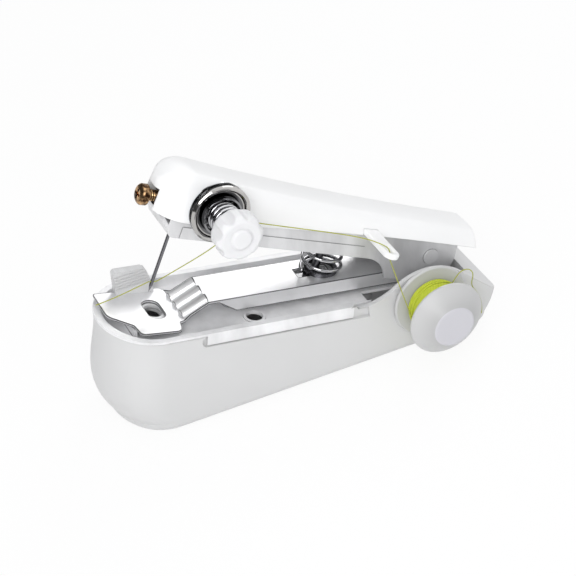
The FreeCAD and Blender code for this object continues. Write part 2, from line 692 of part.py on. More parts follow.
def arm_cover():
    """White moulding over the arm, thicker towards a rounded front."""
    body = new_body("arm_cover")
    on_arm(body)
    stations = [(dim.cover_rear, dim.cover_low, dim.crease_rear),
                (dim.cover_mid, dim.cover_low, dim.crease_mid),
                (dim.cover_shoulder, dim.cover_low_front, dim.crease_shoulder)]
    loft(body, "AdditiveLoft", [cover_section(body, *station) for station in stations], False)
    nose = dim.cover_front - dim.cover_shoulder
    rounding = []
    for turn in (as_size(angle) for angle in (0.0, 25.0, 48.0, 66.0, 80.0)):
        crease = dim.crease_shoulder + dim.nose_rise * sine(turn) - dim.nose_drop * (1 - cosine(turn))
        rounding.append(cover_section(body, dim.cover_shoulder + nose * sine(turn), dim.cover_low_front,
                                      crease, narrow=cosine(turn)))
    loft(body, "AdditiveLoft", rounding, False)

    hollow = [(dim.cover_rear + 1.4, dim.cover_low, dim.crease_rear),
              (dim.cover_mid, dim.cover_low, dim.crease_mid),
              (dim.cover_shoulder, dim.cover_low_front, dim.crease_shoulder)]
    loft(body, "SubtractiveLoft",
         [cover_section(body, *station, inset=dim.cover_wall, drop=1.0) for station in hollow], False)
    sketch = sketch_on(body, "XY_Plane", dim.block_top + 0.6)
    rectangle(sketch, -dim.block_front - 1, 1.0 - dim.cover_shoulder, as_size(-4.9), as_size(4.9))
    pocket(body, sketch, dim.crease_front)
    sketch = sketch_on(body, "XY_Plane", dim.web_top + 0.1)
    half, nose, tip = dim.arm_half + 0.1, dim.chin_nose + 0.1, -dim.chin_front - 0.1
    outline(sketch, [(2.0 - dim.cover_shoulder, half), (tip + nose, half), (tip, half - nose),
                     (tip, nose - half), (tip + nose, -half), (2.0 - dim.cover_shoulder, -half)],
            {1: nose, 3: nose})
    pocket(body, sketch, dim.crease_front)
    sketch = sketch_on(body, "YZ_Plane", -dim.cover_front - 1)
    rectangle(sketch, as_size(-3.5), as_size(3.5), as_size(0.0), dim.clamp_v + 3.6)
    pocket(body, sketch, dim.cover_front - dim.block_front + 0.5, flip=True)

    sketch = sketch_on(body, "XZ_Plane")
    circle(sketch, -dim.tension_u, dim.tension_v, dim.stud_radius + 0.15)
    notch = dim.guide_wide / 2 + 0.05
    rectangle(sketch, -dim.guide_u - notch, notch - dim.guide_u,
              dim.cover_low - 1, dim.guide_v + dim.guide_thick / 2 + 0.05)
    pocket(body, sketch, dim.cover_half * 2, flip=True)
    for u, height in zip(COVER_SCREWS, (4.3, 7.6)):
        sketch = sketch_on(body, "XY_Plane", dim.web_top)
        circle(sketch, -u, 0, 2.5)
        pad(body, sketch, as_size(height))
        sketch = sketch_on(body, "XY_Plane", dim.web_top)
        circle(sketch, -u, 0, 1.0)
        pocket(body, sketch, as_size(height - 1.2), flip=True)


def cover_screws():
    """Two small screws up through the web into the cover's bosses."""
    screws = []
    for index, u in enumerate(COVER_SCREWS, start=1):
        head = doc.addObject("Part::Cylinder", f"cover_screw_head_{index}")
        bind(head, "Radius", 2.0)
        bind(head, "Height", 1.2)
        x, z = arm_point(as_size(u), dim.web_top - dim.arm_sheet - 1.2)
        place(head, x, z, dim.arm_tilt)
        shank = doc.addObject("Part::Cylinder", f"cover_screw_shank_{index}")
        bind(shank, "Radius", 1.0)
        bind(shank, "Height", 3.9)
        x, z = arm_point(as_size(u), dim.web_top - dim.arm_sheet)
        place(shank, x, z, dim.arm_tilt)
        screw = doc.addObject("Part::Fuse", f"cover_screw_{index}")
        screw.Base, screw.Tool = head, shank
        screws.append(screw)
    group = doc.addObject("Part::Compound", "cover_screws")
    group.Links = screws
    nodes.append(group)


def needle_pieces():
    """Clamp block inside the arm's front, the needle in it and the screw that holds it."""
    body = new_body("needle_block")
    on_arm(body)
    sketch = sketch_on(body, "XZ_Plane")
    outline(sketch, [(-dim.block_rear, dim.block_low), (-dim.block_rear, dim.block_top),
                     (1.5 - dim.block_front, dim.block_top), (-dim.block_front, dim.block_top - 1.5),
                     (-dim.block_front, 3.0), (2.6 - dim.block_front, dim.block_low)])
    pad(body, sketch, as_size(9.4), symmetric=True)
    sketch = sketch_on(body, "XZ_Plane")
    outline(sketch, [(-dim.block_rear, dim.block_low), (-dim.block_rear, 2.6),
                     (2.6 - dim.block_front, 2.6), (2.6 - dim.block_front, dim.block_low)])
    pad(body, sketch, (dim.arm_half - dim.arm_sheet) * 2, symmetric=True)
    sketch = sketch_on(body, "XY_Plane", dim.block_top + 1)
    circle(sketch, -dim.needle_u, 0, dim.needle_shank)
    pocket(body, sketch, dim.block_top * 2)
    sketch = sketch_on(body, "YZ_Plane", -dim.block_front)
    circle(sketch, 0, dim.clamp_v, dim.screw_radius + dim.running)
    pocket(body, sketch, dim.block_front - dim.needle_u, flip=True)

    eye = dim.needle_tip + dim.eye_height
    needle = revolved("needle", "XZ_Plane", "Z_Axis", [
        (0, dim.needle_top), (dim.needle_shank - 0.2, dim.needle_top),
        (dim.needle_shank, dim.needle_top - 0.3), (dim.needle_shank, -3.0),
        (dim.needle_blade, -5.0), (dim.needle_blade, eye - 1.2), (0, dim.needle_tip)])
    on_arm(needle, dim.needle_u)
    sketch = sketch_on(needle, "YZ_Plane")
    rounded_slot(sketch, -dim.eye_wide / 2, dim.eye_wide / 2, eye - dim.eye_long / 2, eye + dim.eye_long / 2)
    pocket(needle, sketch, as_size(4.0), symmetric=True)

    head, head_radius = dim.clamp_head_u, dim.clamp_head_radius
    end = -dim.needle_u - dim.needle_shank - 0.08
    crown = -head - dim.clamp_head
    screw = revolved("needle_screw", "XY_Plane", "X_Axis", [
        (end, 0), (end, dim.screw_radius), (-head, dim.screw_radius), (-head, head_radius),
        (crown + 1.0, head_radius), (crown, head_radius - 1.4), (crown, 0)], {4: as_size(1.75)})
    on_arm(screw, 0, dim.clamp_v)
    sketch = sketch_on(screw, "YZ_Plane", crown)
    outline(sketch, CROSS_RECESS)
    pocket(screw, sketch, as_size(1.1), flip=True)


CROSS_RECESS = [(-0.35, -1.5), (0.35, -1.5), (0.35, -0.35), (1.5, -0.35), (1.5, 0.35), (0.35, 0.35),
                (0.35, 1.5), (-0.35, 1.5), (-0.35, 0.35), (-1.5, 0.35), (-1.5, -0.35), (-0.35, -0.35)]


def tension_set():
    """Stud, two dished discs, spring cup and scalloped knob, all on one axis square to the arm's side."""
    def on_stud(body):
        on_arm(body, dim.tension_u, dim.tension_v)

    stud = dim.stud_radius
    on_stud(turned_across("tension_stud", [
        (0, dim.lug_inner - 1.0), (2.8, dim.lug_inner - 1.0), (2.8, dim.lug_inner), (stud, dim.lug_inner),
        (stud, dim.stud_end), (0, dim.stud_end)]))
    rear = dim.disc_gap_n - dim.thread_gap / 2
    front = dim.disc_gap_n + dim.thread_gap / 2
    thin, rim = dim.disc_sheet, dim.disc_radius
    bore, flat, roll_in = stud + 0.1, as_size(4.6), rim - 1.7
    on_stud(turned_across("tension_disc_rear", [
        (bore, rear), (flat, rear), (rim - 1.2, rear - 0.4), (rim - 0.2, rear - 0.45),
        (rim - 0.2, rear - 0.45 - thin), (rim - 1.3, rear - 0.4 - thin), (flat, rear - thin),
        (bore, rear - thin)]))
    on_stud(turned_across("tension_disc_front", [
        (bore, front), (flat, front), (roll_in, front + 0.55), (rim - 0.5, front + 0.55), (rim, front + 1.0),
        (rim - 0.1, front + 1.5), (rim - 0.5, front + 1.85), (rim - 1.0, front + 1.85),
        (rim - 1.4, front + 1.5), (roll_in, front + 0.55 + thin), (flat, front + thin),
        (bore, front + thin)]))
    cup, brim = front + thin + 0.05, dim.cup_radius
    bend = brim - 1.5
    on_stud(turned_across("tension_cup", [
        (bore, cup), (bend, cup), (brim, cup + 0.9), (brim, cup + 2.2), (brim - 0.5, cup + 2.2),
        (brim - 0.5, cup + 1.2), (bend, cup + 0.5), (bore, cup + 0.5)]))

    inner, outer = dim.knob_inner, dim.knob_outer
    radius, boss = dim.knob_radius, dim.knob_boss
    fit, stop = stud + dim.running, dim.stud_end + 0.3
    knob = turned_across("tension_knob", [
        (fit, inner), (radius - 1.8, inner), (radius - 0.5, inner + 0.9), (radius, inner + 2.0),
        (radius, outer - 1.4), (radius - 0.5, outer - 0.5), (radius - 1.4, outer), (boss + 0.6, outer - 0.2),
        (boss, outer + 0.5), (0, outer + 0.5), (0, stop), (fit, stop)])
    on_stud(knob)
    sketch = sketch_on(knob, "XZ_Plane", outer + 1)
    circle(sketch, 0, radius + dim.knob_lobe - dim.lobe_depth, dim.knob_lobe)
    scallop = pocket(knob, sketch, outer - inner + 2)
    pattern = knob.newObject("PartDesign::PolarPattern", "knob_scallops")
    pattern.Originals = [scallop]
    pattern.Axis = (origin_feature(knob, "Y_Axis"), [""])
    pattern.Angle = 360.0
    pattern.Occurrences = 8
    knob.Tip = pattern
    doc.recompute()


def thread_guide():
    """Flat tab through the cover's side, on a folded foot, with a long eye near its round tip."""
    body = new_body("thread_guide")
    on_arm(body, dim.guide_u, dim.guide_v)
    half = dim.guide_wide / 2
    tip = -dim.guide_tip
    sketch = sketch_on(body, "XY_Plane", -dim.guide_thick / 2)
    outline(sketch, [(half, -dim.guide_root), (-half, -dim.guide_root), (-half, tip + half), (0, tip),
                     (half, tip + half)], {2: half, 3: half})
    pad(body, sketch, dim.guide_thick)
    sketch = sketch_on(body, "XY_Plane", dim.guide_thick)
    middle = -dim.guide_hole_n
    rounded_slot(sketch, -dim.guide_hole_wide / 2, dim.guide_hole_wide / 2,
                 middle - dim.guide_hole_long / 2, middle + dim.guide_hole_long / 2)
    pocket(body, sketch, dim.guide_thick * 2)
    round_edges(body, lambda edge: edge.BoundBox.YMax < -12 and abs(edge.CenterOfMass.z) > 0.5, as_size(0.5))
    sketch = sketch_on(body, "XY_Plane", dim.web_top - dim.guide_v)
    rectangle(sketch, -half, half, -dim.guide_root - 0.2, 1.4 - dim.guide_root)
    pad(body, sketch, dim.guide_v - dim.web_top)


def drive_pin():
    """Rivet in the near hinge ear that pulls the drive link."""
    pin = turned_across("drive_pin", [
        (0, dim.arm_half - dim.arm_sheet), (dim.drive_pin, dim.arm_half - dim.arm_sheet),
        (dim.drive_pin, dim.link_n + dim.link_thick + 0.6), (0, dim.link_n + dim.link_thick + 0.6)])
    on_arm(pin, dim.drive_u, dim.drive_v)


def spring_post():
    """Rod through the return spring whose head stops the arm's rise under the presser."""
    head = dim.post_head_v
    post = revolved("spring_post", "XZ_Plane", "Z_Axis", [
        (0, dim.web_top + 0.7), (2.4, dim.web_top + 0.7), (2.4, dim.web_top), (dim.post_radius, dim.web_top),
        (dim.post_radius, head), (dim.post_head_radius, head), (dim.post_head_radius, head - 1.2),
        (0, head - 1.2)])
    on_arm(post, dim.post_u)


# Presser

def presser_plate():
    """Stamped foot: front plate with the needle slot, a fluted step and a flanged arm back to the hinge."""
    body = new_body("presser_plate")
    thick = dim.sheet
    stations = [(dim.plate_front_x, dim.plate_front_z), (dim.step_foot_x, plate_top(dim.step_foot_x)),
                (dim.step_top_x, dim.step_top_z), (dim.presser_end_x, presser_top(dim.presser_end_x))]
    sketch = sketch_on(body, "XZ_Plane")
    outline(sketch, [(x, z - thick) for x, z in stations] + [(x, z) for x, z in reversed(stations)])
    pad(body, sketch, as_size(40.0), symmetric=True)
    near, far, arm = -dim.plate_near, dim.plate_far, dim.presser_half
    front, rear = dim.plate_front_x, dim.presser_end_x
    sketch = sketch_on(body, "XY_Plane", dim.shell_height + 10)
    rectangle(sketch, front - 10, rear + 10, as_size(-22.0), as_size(22.0))
    outline(sketch, [
        (front, as_size(-0.4)), (front + 1.2, as_size(-3.0)), (front + 5.7, as_size(-7.6)),
        (front + 6.1, near + 1.6), (front + 7.4, near), (as_size(-40.0), near), (as_size(-38.3), near + 1.5),
        (as_size(-37.6), as_size(-8.2)), (as_size(-34.0), -arm), (rear, -arm), (rear, arm),
        (as_size(-34.5), arm), (as_size(-37.0), far), (front + 1.0, far), (front, far - 1.0)],
        {0: as_size(4.0), 3: as_size(1.6), 5: as_size(1.9), 13: as_size(1.0)})
    pocket(body, sketch, dim.shell_height + 10)

    wall = dim.sheet
    hinge_x, hinge_z, ear = dim.hinge_x, dim.hinge_z, dim.presser_ear
    for inner_face in (arm - wall, -arm):
        sketch = sketch_on(body, "XZ_Plane", inner_face)
        start, bend = dim.step_top_x + 2, dim.presser_end_x
        heel = hinge_x - 4.0
        outline(sketch, [
            (start, presser_top(start) - 0.1), (start + 6, presser_top(start + 6) - dim.flange_depth),
            (heel, presser_top(heel) - dim.flange_depth), (hinge_x, hinge_z - ear), (hinge_x + ear, hinge_z),
            (hinge_x, hinge_z + ear), (hinge_x - ear, hinge_z), (bend, presser_top(bend) - 0.1)],
            {3: ear, 4: ear, 5: ear})
        pad(body, sketch, wall)

    sketch = sketch_on(body, "YZ_Plane", dim.step_foot_x)
    base = plate_top(dim.step_foot_x) - 0.4
    wide, rise = dim.flute_half, dim.flute_rise + 0.4
    flute_radius = (rise * rise + wide * wide) / (rise * 2)
    for middle in (-4.6, 0.0, 4.6):
        outline(sketch, [(middle - wide, base), (middle + wide, base)], {1: flute_radius})
    run = dim.step_top_x - dim.step_foot_x
    climb = dim.step_top_z - plate_top(dim.step_foot_x)
    flutes = body.newObject("PartDesign::Pad", "presser_flutes")
    flutes.Profile = sketch
    flutes.UseCustomVector = True
    flutes.Direction = VECTOR(run.value, 0, climb.value)
    flutes.AlongSketchNormal = True
    bind(flutes, "Length", run)
    doc.recompute()

    sketch = sketch_on(body, "XZ_Plane", -far)
    lug_front, lug_rear = LUG
    outline(sketch, [(lug_front, plate_top(lug_front) - 0.3), (lug_rear, plate_top(lug_rear) - 0.3),
                     (lug_rear, plate_top(lug_rear) + dim.lug_height),
                     (lug_front, plate_top(lug_front) + dim.lug_height)])
    pad(body, sketch, wall)

    sketch = sketch_on(body, "XY_Plane", dim.shell_height + 10)
    rounded_slot(sketch, dim.slot_front_x, dim.slot_rear_x, -dim.slot_near, dim.slot_far)
    pocket(body, sketch, dim.shell_height + 10)
    sketch = sketch_on(body, "XY_Plane", dim.shell_height + 10)
    rectangle(sketch, dim.spring_x - 8.0, dim.spring_x + 2.2, as_size(-2.3), as_size(2.3))
    pocket(body, sketch, dim.shell_height + 10)
    sketch = sketch_on(body, "XZ_Plane")
    circle(sketch, hinge_x, hinge_z, dim.pin_radius + dim.running)
    pocket(body, sketch, dim.base_width, symmetric=True)


LUG = as_size(-47.6), as_size(-41.6)


def lift_tab():
    """Ridged finger grip pushed over the presser's upturned lug."""
    body = new_body("lift_tab")
    front, rear = as_size(-50.2), as_size(-39.0)
    outer = -dim.plate_far - 0.95
    sketch = sketch_on(body, "XZ_Plane", outer)
    outline(sketch, [
        (front, plate_top(front)), (rear, plate_top(rear)), (rear, plate_top(rear) + 3.0),
        (rear - 1.3, plate_top(rear) + dim.tab_height + 0.6),
        (rear - 2.4, plate_top(rear) + dim.tab_height + 1.5),
        (front + 0.9, plate_top(front) + dim.tab_height), (front, plate_top(front) + dim.tab_height - 0.9)],
        {3: as_size(1.6), 5: as_size(1.2)})
    pad(body, sketch, dim.tab_thick)
    sketch = sketch_on(body, "XZ_Plane", -dim.plate_far - 0.05)
    low_x, high_x = LUG[0] - 0.1, LUG[1] + 0.1
    outline(sketch, [(low_x, plate_top(low_x) - 1), (high_x, plate_top(high_x) - 1),
                     (high_x, plate_top(high_x) + dim.lug_height + 0.1),
                     (low_x, plate_top(low_x) + dim.lug_height + 0.1)])
    pocket(body, sketch, dim.sheet + 0.1, flip=True)
    for face, flip in ((outer + dim.tab_thick - dim.ridge_depth, True), (outer + dim.ridge_depth, False)):
        sketch = sketch_on(body, "XZ_Plane", face)
        for step in range(5):
            low = plate_top(front) + 1.4 + dim.ridge_pitch * step
            rectangle(sketch, front - 1, rear + 1, low, low + 0.45)
        pocket(body, sketch, as_size(2.0), flip=flip)


def spring_seat():
    """Collar that keeps the return spring's foot in its place."""
    hole, rim, top = dim.seat_hole, dim.seat_radius, dim.seat_rim
    seat = revolved("spring_seat", "XZ_Plane", "Z_Axis", [
        (hole, 0), (rim, 0), (rim, top - 0.4), (rim - 0.4, top), (hole, top)])
    place(seat, dim.spring_x, presser_top(dim.spring_x), dim.presser_tilt)


# Spool

def spool_pieces():
    inner, outer, flange = dim.spool_inner, dim.spool_outer, dim.flange
    rim, barrel = dim.spool_radius, dim.barrel_radius
    bore = dim.axle_radius + dim.running
    face = outer + dim.cap_reach
    near, lip = inner + flange, outer - flange
    spool = turned_across("spool", [
        (bore, inner), (rim - 0.5, inner), (rim, inner + 0.5), (rim, near - 0.4), (rim - 0.4, near),
        (barrel, near), (barrel, lip), (rim - 0.4, lip), (rim, lip + 0.4), (rim, outer - 0.4),
        (rim - 0.4, outer), (dim.cap_radius + 0.3, face - 0.2), (dim.cap_radius - 0.2, face), (0, face),
        (0, outer - 0.6), (bore, outer - 0.6)])
    place(spool, dim.spool_x, dim.spool_z)
    low, high = inner + flange + 0.1, outer - flange - 0.1
    pack = turned_across("thread_pack", [
        (barrel, low), (dim.pack_radius - 0.5, low), (dim.pack_radius, low + 0.6),
        (dim.pack_radius, high - 0.6), (dim.pack_radius - 0.5, high), (barrel, high)])
    place(pack, dim.spool_x, dim.spool_z)
    collar = dim.base_width / 2 - dim.wall - 0.65
    axle = turned_across("spool_axle", [
        (0, collar - 1.15), (3.6, collar - 1.15), (3.6, collar), (dim.axle_radius, collar),
        (dim.axle_radius, outer - 1.2), (0, outer - 1.2)])
    place(axle, dim.spool_x, dim.spool_z)


# Looper drive

def looper_pieces():
    """Bracket below the tray, and the shaft, hook and crank that swing in it."""
    x, z, radius = dim.looper_x, dim.looper_z, dim.looper_radius
    bracket = new_body("looper_bracket")
    top_front, top_rear = as_size(-31.0), as_size(-24.5)

    def hang(point):
        return tray_floor(point) - dim.sheet / cosine(dim.rim_slope)

    for inner_face in (as_size(3.6), as_size(-4.8)):
        sketch = sketch_on(bracket, "XZ_Plane", inner_face)
        outline(sketch, [(x - 3, z), (x, z - 3), (x + 3, z), (top_rear, hang(top_rear) - 4),
                         (top_rear, hang(top_rear)), (top_front, hang(top_front)),
                         (top_front, hang(top_front) - 4)],
                {0: as_size(3.0), 1: as_size(3.0)})
        pad(bracket, sketch, as_size(1.2))
        if inner_face.value > 0:
            sketch = sketch_on(bracket, "XZ_Plane")
            outline(sketch, [(top_front, hang(top_front) - 1.2), (top_rear, hang(top_rear) - 1.2),
                             (top_rear, hang(top_rear)), (top_front, hang(top_front))])
            pad(bracket, sketch, as_size(9.6), symmetric=True)
    sketch = sketch_on(bracket, "XZ_Plane")
    circle(sketch, x, z, radius + dim.running)
    pocket(bracket, sketch, dim.base_width, symmetric=True)

    shaft = turned_across("looper_shaft", [
        (0, -5.4), (radius, -5.4), (radius, dim.crank_n + dim.hook_thick), (0, dim.crank_n + dim.hook_thick)])
    place(shaft, x, z)

    hook = new_body("looper_hook")
    place(hook, x, z)
    sketch = sketch_on(hook, "XZ_Plane", dim.hook_n)
    outline(sketch, [(-2.8, -0.6), (0, -2.8), (2.8, 0), (1.4, 2.6), (-0.6, 9.4), (-1.2, 11.6), (-6.4, 13.4),
                     (-6.0, 12.4), (-3.4, 10.6), (-2.6, 8.8), (-2.4, 3.0)],
            {0: as_size(2.8), 1: as_size(2.8), 4: as_size(3.2)})
    pad(hook, sketch, dim.hook_thick)
    sketch = sketch_on(hook, "XZ_Plane")
    circle(sketch, 0, 0, radius)
    pocket(hook, sketch, dim.base_width, symmetric=True)

    crank = new_body("looper_crank")
    place(crank, x, z)
    reach, pin = dim.crank_reach, dim.drive_pin
    lean = sine(CRANK_LEAN), cosine(CRANK_LEAN)
    end_x, end_z = -reach * lean[0], -reach * lean[1]
    sketch = sketch_on(crank, "XZ_Plane", dim.crank_n)
    hub, tip = 2.6, 2.0
    outline(sketch, [(-hub, 0), (end_x - tip, end_z), (end_x, end_z - tip), (end_x + tip, end_z), (hub, 0),
                     (0, hub)], {1: as_size(tip), 2: as_size(tip), 4: as_size(hub), 5: as_size(hub)})
    pad(crank, sketch, dim.hook_thick)
    sketch = sketch_on(crank, "XZ_Plane")
    circle(sketch, 0, 0, radius)
    pocket(crank, sketch, dim.base_width, symmetric=True)
    sketch = sketch_on(crank, "XZ_Plane", dim.crank_n + dim.hook_thick - 0.2)
    circle(sketch, end_x, end_z, pin)
    pad(crank, sketch, dim.link_n + dim.link_thick + 0.6 - dim.crank_n - dim.hook_thick + 0.2)


CRANK_LEAN = as_size(15.0)


def drive_link():
    """Flat strip from the hinge ear's rivet to the looper's crank pin, slotted at both ends."""
    body = new_body("drive_link")
    pin, half = dim.drive_pin, dim.link_half
    rear_x, rear_z = arm_point(dim.drive_u, dim.drive_v)
    front_x = dim.looper_x - dim.crank_reach * sine(CRANK_LEAN)
    front_z = dim.looper_z - dim.crank_reach * cosine(CRANK_LEAN)
    sketch = sketch_on(body, "XZ_Plane", dim.link_n)
    outline(sketch, [(front_x - half, front_z), (front_x, front_z - half), (rear_x, rear_z - half),
                     (rear_x + half, rear_z), (rear_x, rear_z + half), (front_x, front_z + half)],
            {0: half, 2: half, 3: half, 5: half})
    pad(body, sketch, dim.link_thick)
    sketch = sketch_on(body, "XZ_Plane", dim.link_n + dim.link_thick + 1)
    slack, lost = 0.12, 0.75
    low, high = 1.5, 1.9
    rectangle(sketch, rear_x - pin - lost, rear_x + pin + slack, rear_z - low, rear_z + low)
    rectangle(sketch, front_x - pin - slack, front_x + pin + slack, front_z - low, front_z + high)
    pocket(body, sketch, dim.link_thick + 2)


# Wound wire and thread

def biarc(start, start_way, end, end_way):
    """Two tangent arcs that join two points with given directions."""
    span = end - start
    both = start_way + end_way
    spread = 2 * (1 - start_way.dot(end_way))
    reach = (math.sqrt(span.dot(both) ** 2 + spread * span.dot(span)) - span.dot(both)) / spread
    middle = (start + end + (start_way - end_way) * reach) * 0.5
    return [arc_from(start, start_way, middle), arc_from(end, end_way * -1, middle)]


def arc_from(start, way, end):
    """The arc that leaves a point in a direction and ends at another point."""
    chord = end - start
    ahead = chord * (1 / chord.Length)
    aside = way - ahead * way.dot(ahead)
    turn = math.acos(max(-1.0, min(1.0, way.dot(ahead))))
    bulge = chord.Length / 2 * math.tan(turn / 2)
    middle = start + chord * 0.5 + aside * (bulge / aside.Length)
    return Part.Arc(start, middle, end).toShape()


def coil(label, station, turns, wire_radius, sideways=False, lean=0.0):
    """One unbroken tube through turns that station(turn) gives as radius and height.

    The axis is Z, or the direction of the spool side when it lies sideways. Each turn leans a little
    more than the one before, up to the given slope, rising towards -X.
    """
    steps = int(turns * 4)

    def point(turn):
        radius, height = station(turn)
        angle = 2 * math.pi * turn
        if sideways:
            return VECTOR(radius * math.cos(angle), -height, radius * math.sin(angle))
        x = -radius * math.cos(angle)
        return VECTOR(x, radius * math.sin(angle), height - x * lean * turn / turns)

    def heading(turn):
        return (point(turn + 1e-4) - point(turn - 1e-4)).normalize()

    places = [index / 4 for index in range(steps + 1)]
    edges = []
    for first, last in zip(places, places[1:]):
        edges += biarc(point(first), heading(first), point(last), heading(last))
    lead = wire_radius * 2
    start, end = point(places[0]), point(places[-1])
    before, after = start - heading(places[0]) * lead, end + heading(places[-1]) * lead
    edges = [Part.LineSegment(before, start).toShape()] + edges + [Part.LineSegment(end, after).toShape()]
    path = Part.Wire(Part.__sortEdges__(edges))
    section = Part.Wire(Part.Circle(before, heading(places[0]), wire_radius).toShape())
    tube = path.makePipeShell([section], True, False)
    track = [point(index / 24) for index in range(steps * 6 + 1)]
    gaps = [(track[i] - track[j]).Length for i in range(len(track)) for j in range(i + 12, len(track))]
    print(f"{label}: turns {turns}, least gap to itself {min(gaps) - 2 * wire_radius:.2f} mm, "
          f"volume {tube.Volume:.1f} for section times length "
          f"{math.pi * wire_radius ** 2 * path.Length:.1f}")
    return tube


def return_spring():
    """Spring that pushes the arm up off the presser, a little narrower at its head."""
    turns, wire = 5, dim.spring_wire.value / 2
    foot = wire + 0.1
    climb = dim.spring_reach.value - foot

    def station(turn):
        share = turn / turns
        narrow = dim.spring_head.value - dim.spring_foot.value
        return dim.spring_foot.value + narrow * share, foot + climb * share

    lean = math.tan(math.radians(dim.arm_tilt.value - dim.presser_tilt.value))
    solid_node("return_spring", coil("return_spring", station, turns, wire, lean=lean),
               dim.spring_x, presser_top(dim.spring_x), dim.presser_tilt)


def tension_spring():
    turns, wire = 3.5, dim.tension_wire.value / 2
    cup_floor, room = 0.6, 0.2
    low = dim.disc_gap_n.value + dim.thread_gap.value / 2 + dim.disc_sheet.value + cup_floor + room + wire
    high = dim.knob_inner.value - room - wire

    def station(turn):
        return dim.tension_spring_radius.value, low + (high - low) * turn / turns

    tube = coil("tension_spring", station, turns, wire, sideways=True)
    x, z = arm_point(dim.tension_u, dim.tension_v)
    solid_node("tension_spring", tube, x, z, dim.arm_tilt)


def thread_winding():
    """Outer layer of thread on the spool."""
    wire = dim.wound_radius.value
    turns = 8
    radius = dim.pack_radius.value + wire + 0.03
    low = dim.spool_inner.value + dim.flange.value + 0.55

    def station(turn):
        return radius, low + dim.wound_pitch.value * turn

    tube = coil("thread_winding", station, turns, wire, sideways=True)
    solid_node("thread_winding", tube, dim.spool_x, dim.spool_z)


def thread_tube(label, points, radius):
    """Tube along straight runs joined by tangent arcs, each as large as its runs allow."""
    edges = []
    radii = []
    begin = points[0]
    for before, corner, after in zip(points, points[1:], points[2:]):
        way_in, way_out = (corner - before), (after - corner)
        shorter = min(way_in.Length, way_out.Length)
        way_in = way_in * (1 / way_in.Length)
        way_out = way_out * (1 / way_out.Length)
        turn = math.acos(max(-1.0, min(1.0, way_in.dot(way_out))))
        cut = 0.45 * shorter
        first, last = corner - way_in * cut, corner + way_out * cut
        edges.append(Part.LineSegment(begin, first).toShape())
        edges.append(arc_from(first, way_in, last))
        radii.append(cut / math.tan(turn / 2))
        begin = last
    edges.append(Part.LineSegment(begin, points[-1]).toShape())
    path = Part.Wire(edges)
    section = Part.Wire(Part.Circle(points[0], points[1] - points[0], radius).toShape())
    tube = path.makePipeShell([section], True, False)
    print(f"{label}: radii {[round(r, 2) for r in radii]}, length {path.Length:.1f}, "
          f"volume {tube.Volume:.2f} for section times length {math.pi * radius ** 2 * path.Length:.2f}")
    solid_node(label, tube)


def arm_world(u, n, v):
    """World point of a place on the arm."""
    x, z = arm_point(as_size(u), as_size(v))
    return VECTOR(x.value, -as_size(n).value, z.value)


def threads():
    """The sewing thread: spool to guide, guide through the discs to the needle, and the tail."""
    radius = dim.thread_radius.value
    guide = dim.guide_u.value, dim.guide_hole_n.value, dim.guide_v.value
    below = arm_world(guide[0], guide[1], guide[2] - 1.5)
    leave = VECTOR(28.1, -23.3, 15.8)
    middle = (below + leave) * 0.5 + VECTOR(-0.25, 0, 0)
    thread_tube("thread_supply", [leave, middle, below], radius)

    gap_n, axis_u, axis_v = dim.disc_gap_n.value, dim.tension_u.value, dim.tension_v.value
    under = axis_v - dim.stud_radius.value - 0.35
    eye_v = dim.needle_tip.value + dim.eye_height.value
    exit_point = (axis_u + 2.0, gap_n - 0.02, axis_v - 9.6)
    run = [
        (guide[0], guide[1], guide[2] - 1.4), (guide[0], guide[1], guide[2] + 0.9),
        (guide[0] + 2.4, guide[1] - 0.9, guide[2] + 1.15), (axis_u - 12.5, gap_n + 0.75, axis_v - 1.2),
        (axis_u - 8.5, gap_n + 0.05, axis_v - 1.5), (axis_u - 0.4, gap_n, under), exit_point]
    thread_tube("thread_feed", [arm_world(*place_on_arm) for place_on_arm in run], radius)

    eye_u = dim.needle_u.value
    run = [
        (exit_point[0] + 0.02, exit_point[1], exit_point[2] - 0.1),
        (axis_u + 2.4, gap_n - 0.35, axis_v - 11.4),
        (eye_u - 1.6, 0.5, eye_v + 0.9), (eye_u - 0.7, 0.0, eye_v + 0.05), (eye_u + 0.75, 0.0, eye_v)]
    thread_tube("thread_needle", [arm_world(*place_on_arm) for place_on_arm in run], radius)

    start = arm_world(eye_u + 0.95, 0.0, eye_v)
    front = VECTOR(dim.plate_front_x.value, 7.2, dim.plate_front_z.value)
    over = front + VECTOR(0.6, -0.3, 0.6)
    hang = front + VECTOR(-0.9, 0.3, 0.1)
    slack = start + (over - start) * 0.55 + VECTOR(0, 0, -0.3)
    thread_tube("thread_tail", [start, slack, over, hang], radius)

    axis = VECTOR(dim.spool_x.value, -24.6, dim.spool_z.value)
    loop = [(3.5, 7.5), (5.2, 10.2), (7.4, 12.0), (9.9, 11.6), (11.3, 9.2), (10.2, 5.6), (12.6, 1.9),
            (14.0, -2.4), (13.8, -6.0)]
    thread_tube("thread_end", [axis + VECTOR(x, 0, z) for x, z in loop], radius)


def build():
    base_shell()
    base_screws()
    base_frame()
    throat_plate()
    hinge_pieces()
    arm_channel()
    arm_cover()
    cover_screws()
    needle_pieces()
    tension_set()
    tension_spring()
    thread_guide()
    drive_pin()
    spring_post()
    presser_plate()
    lift_tab()
    spring_seat()
    return_spring()
    spool_pieces()
    thread_winding()
    looper_pieces()
    drive_link()
    threads()


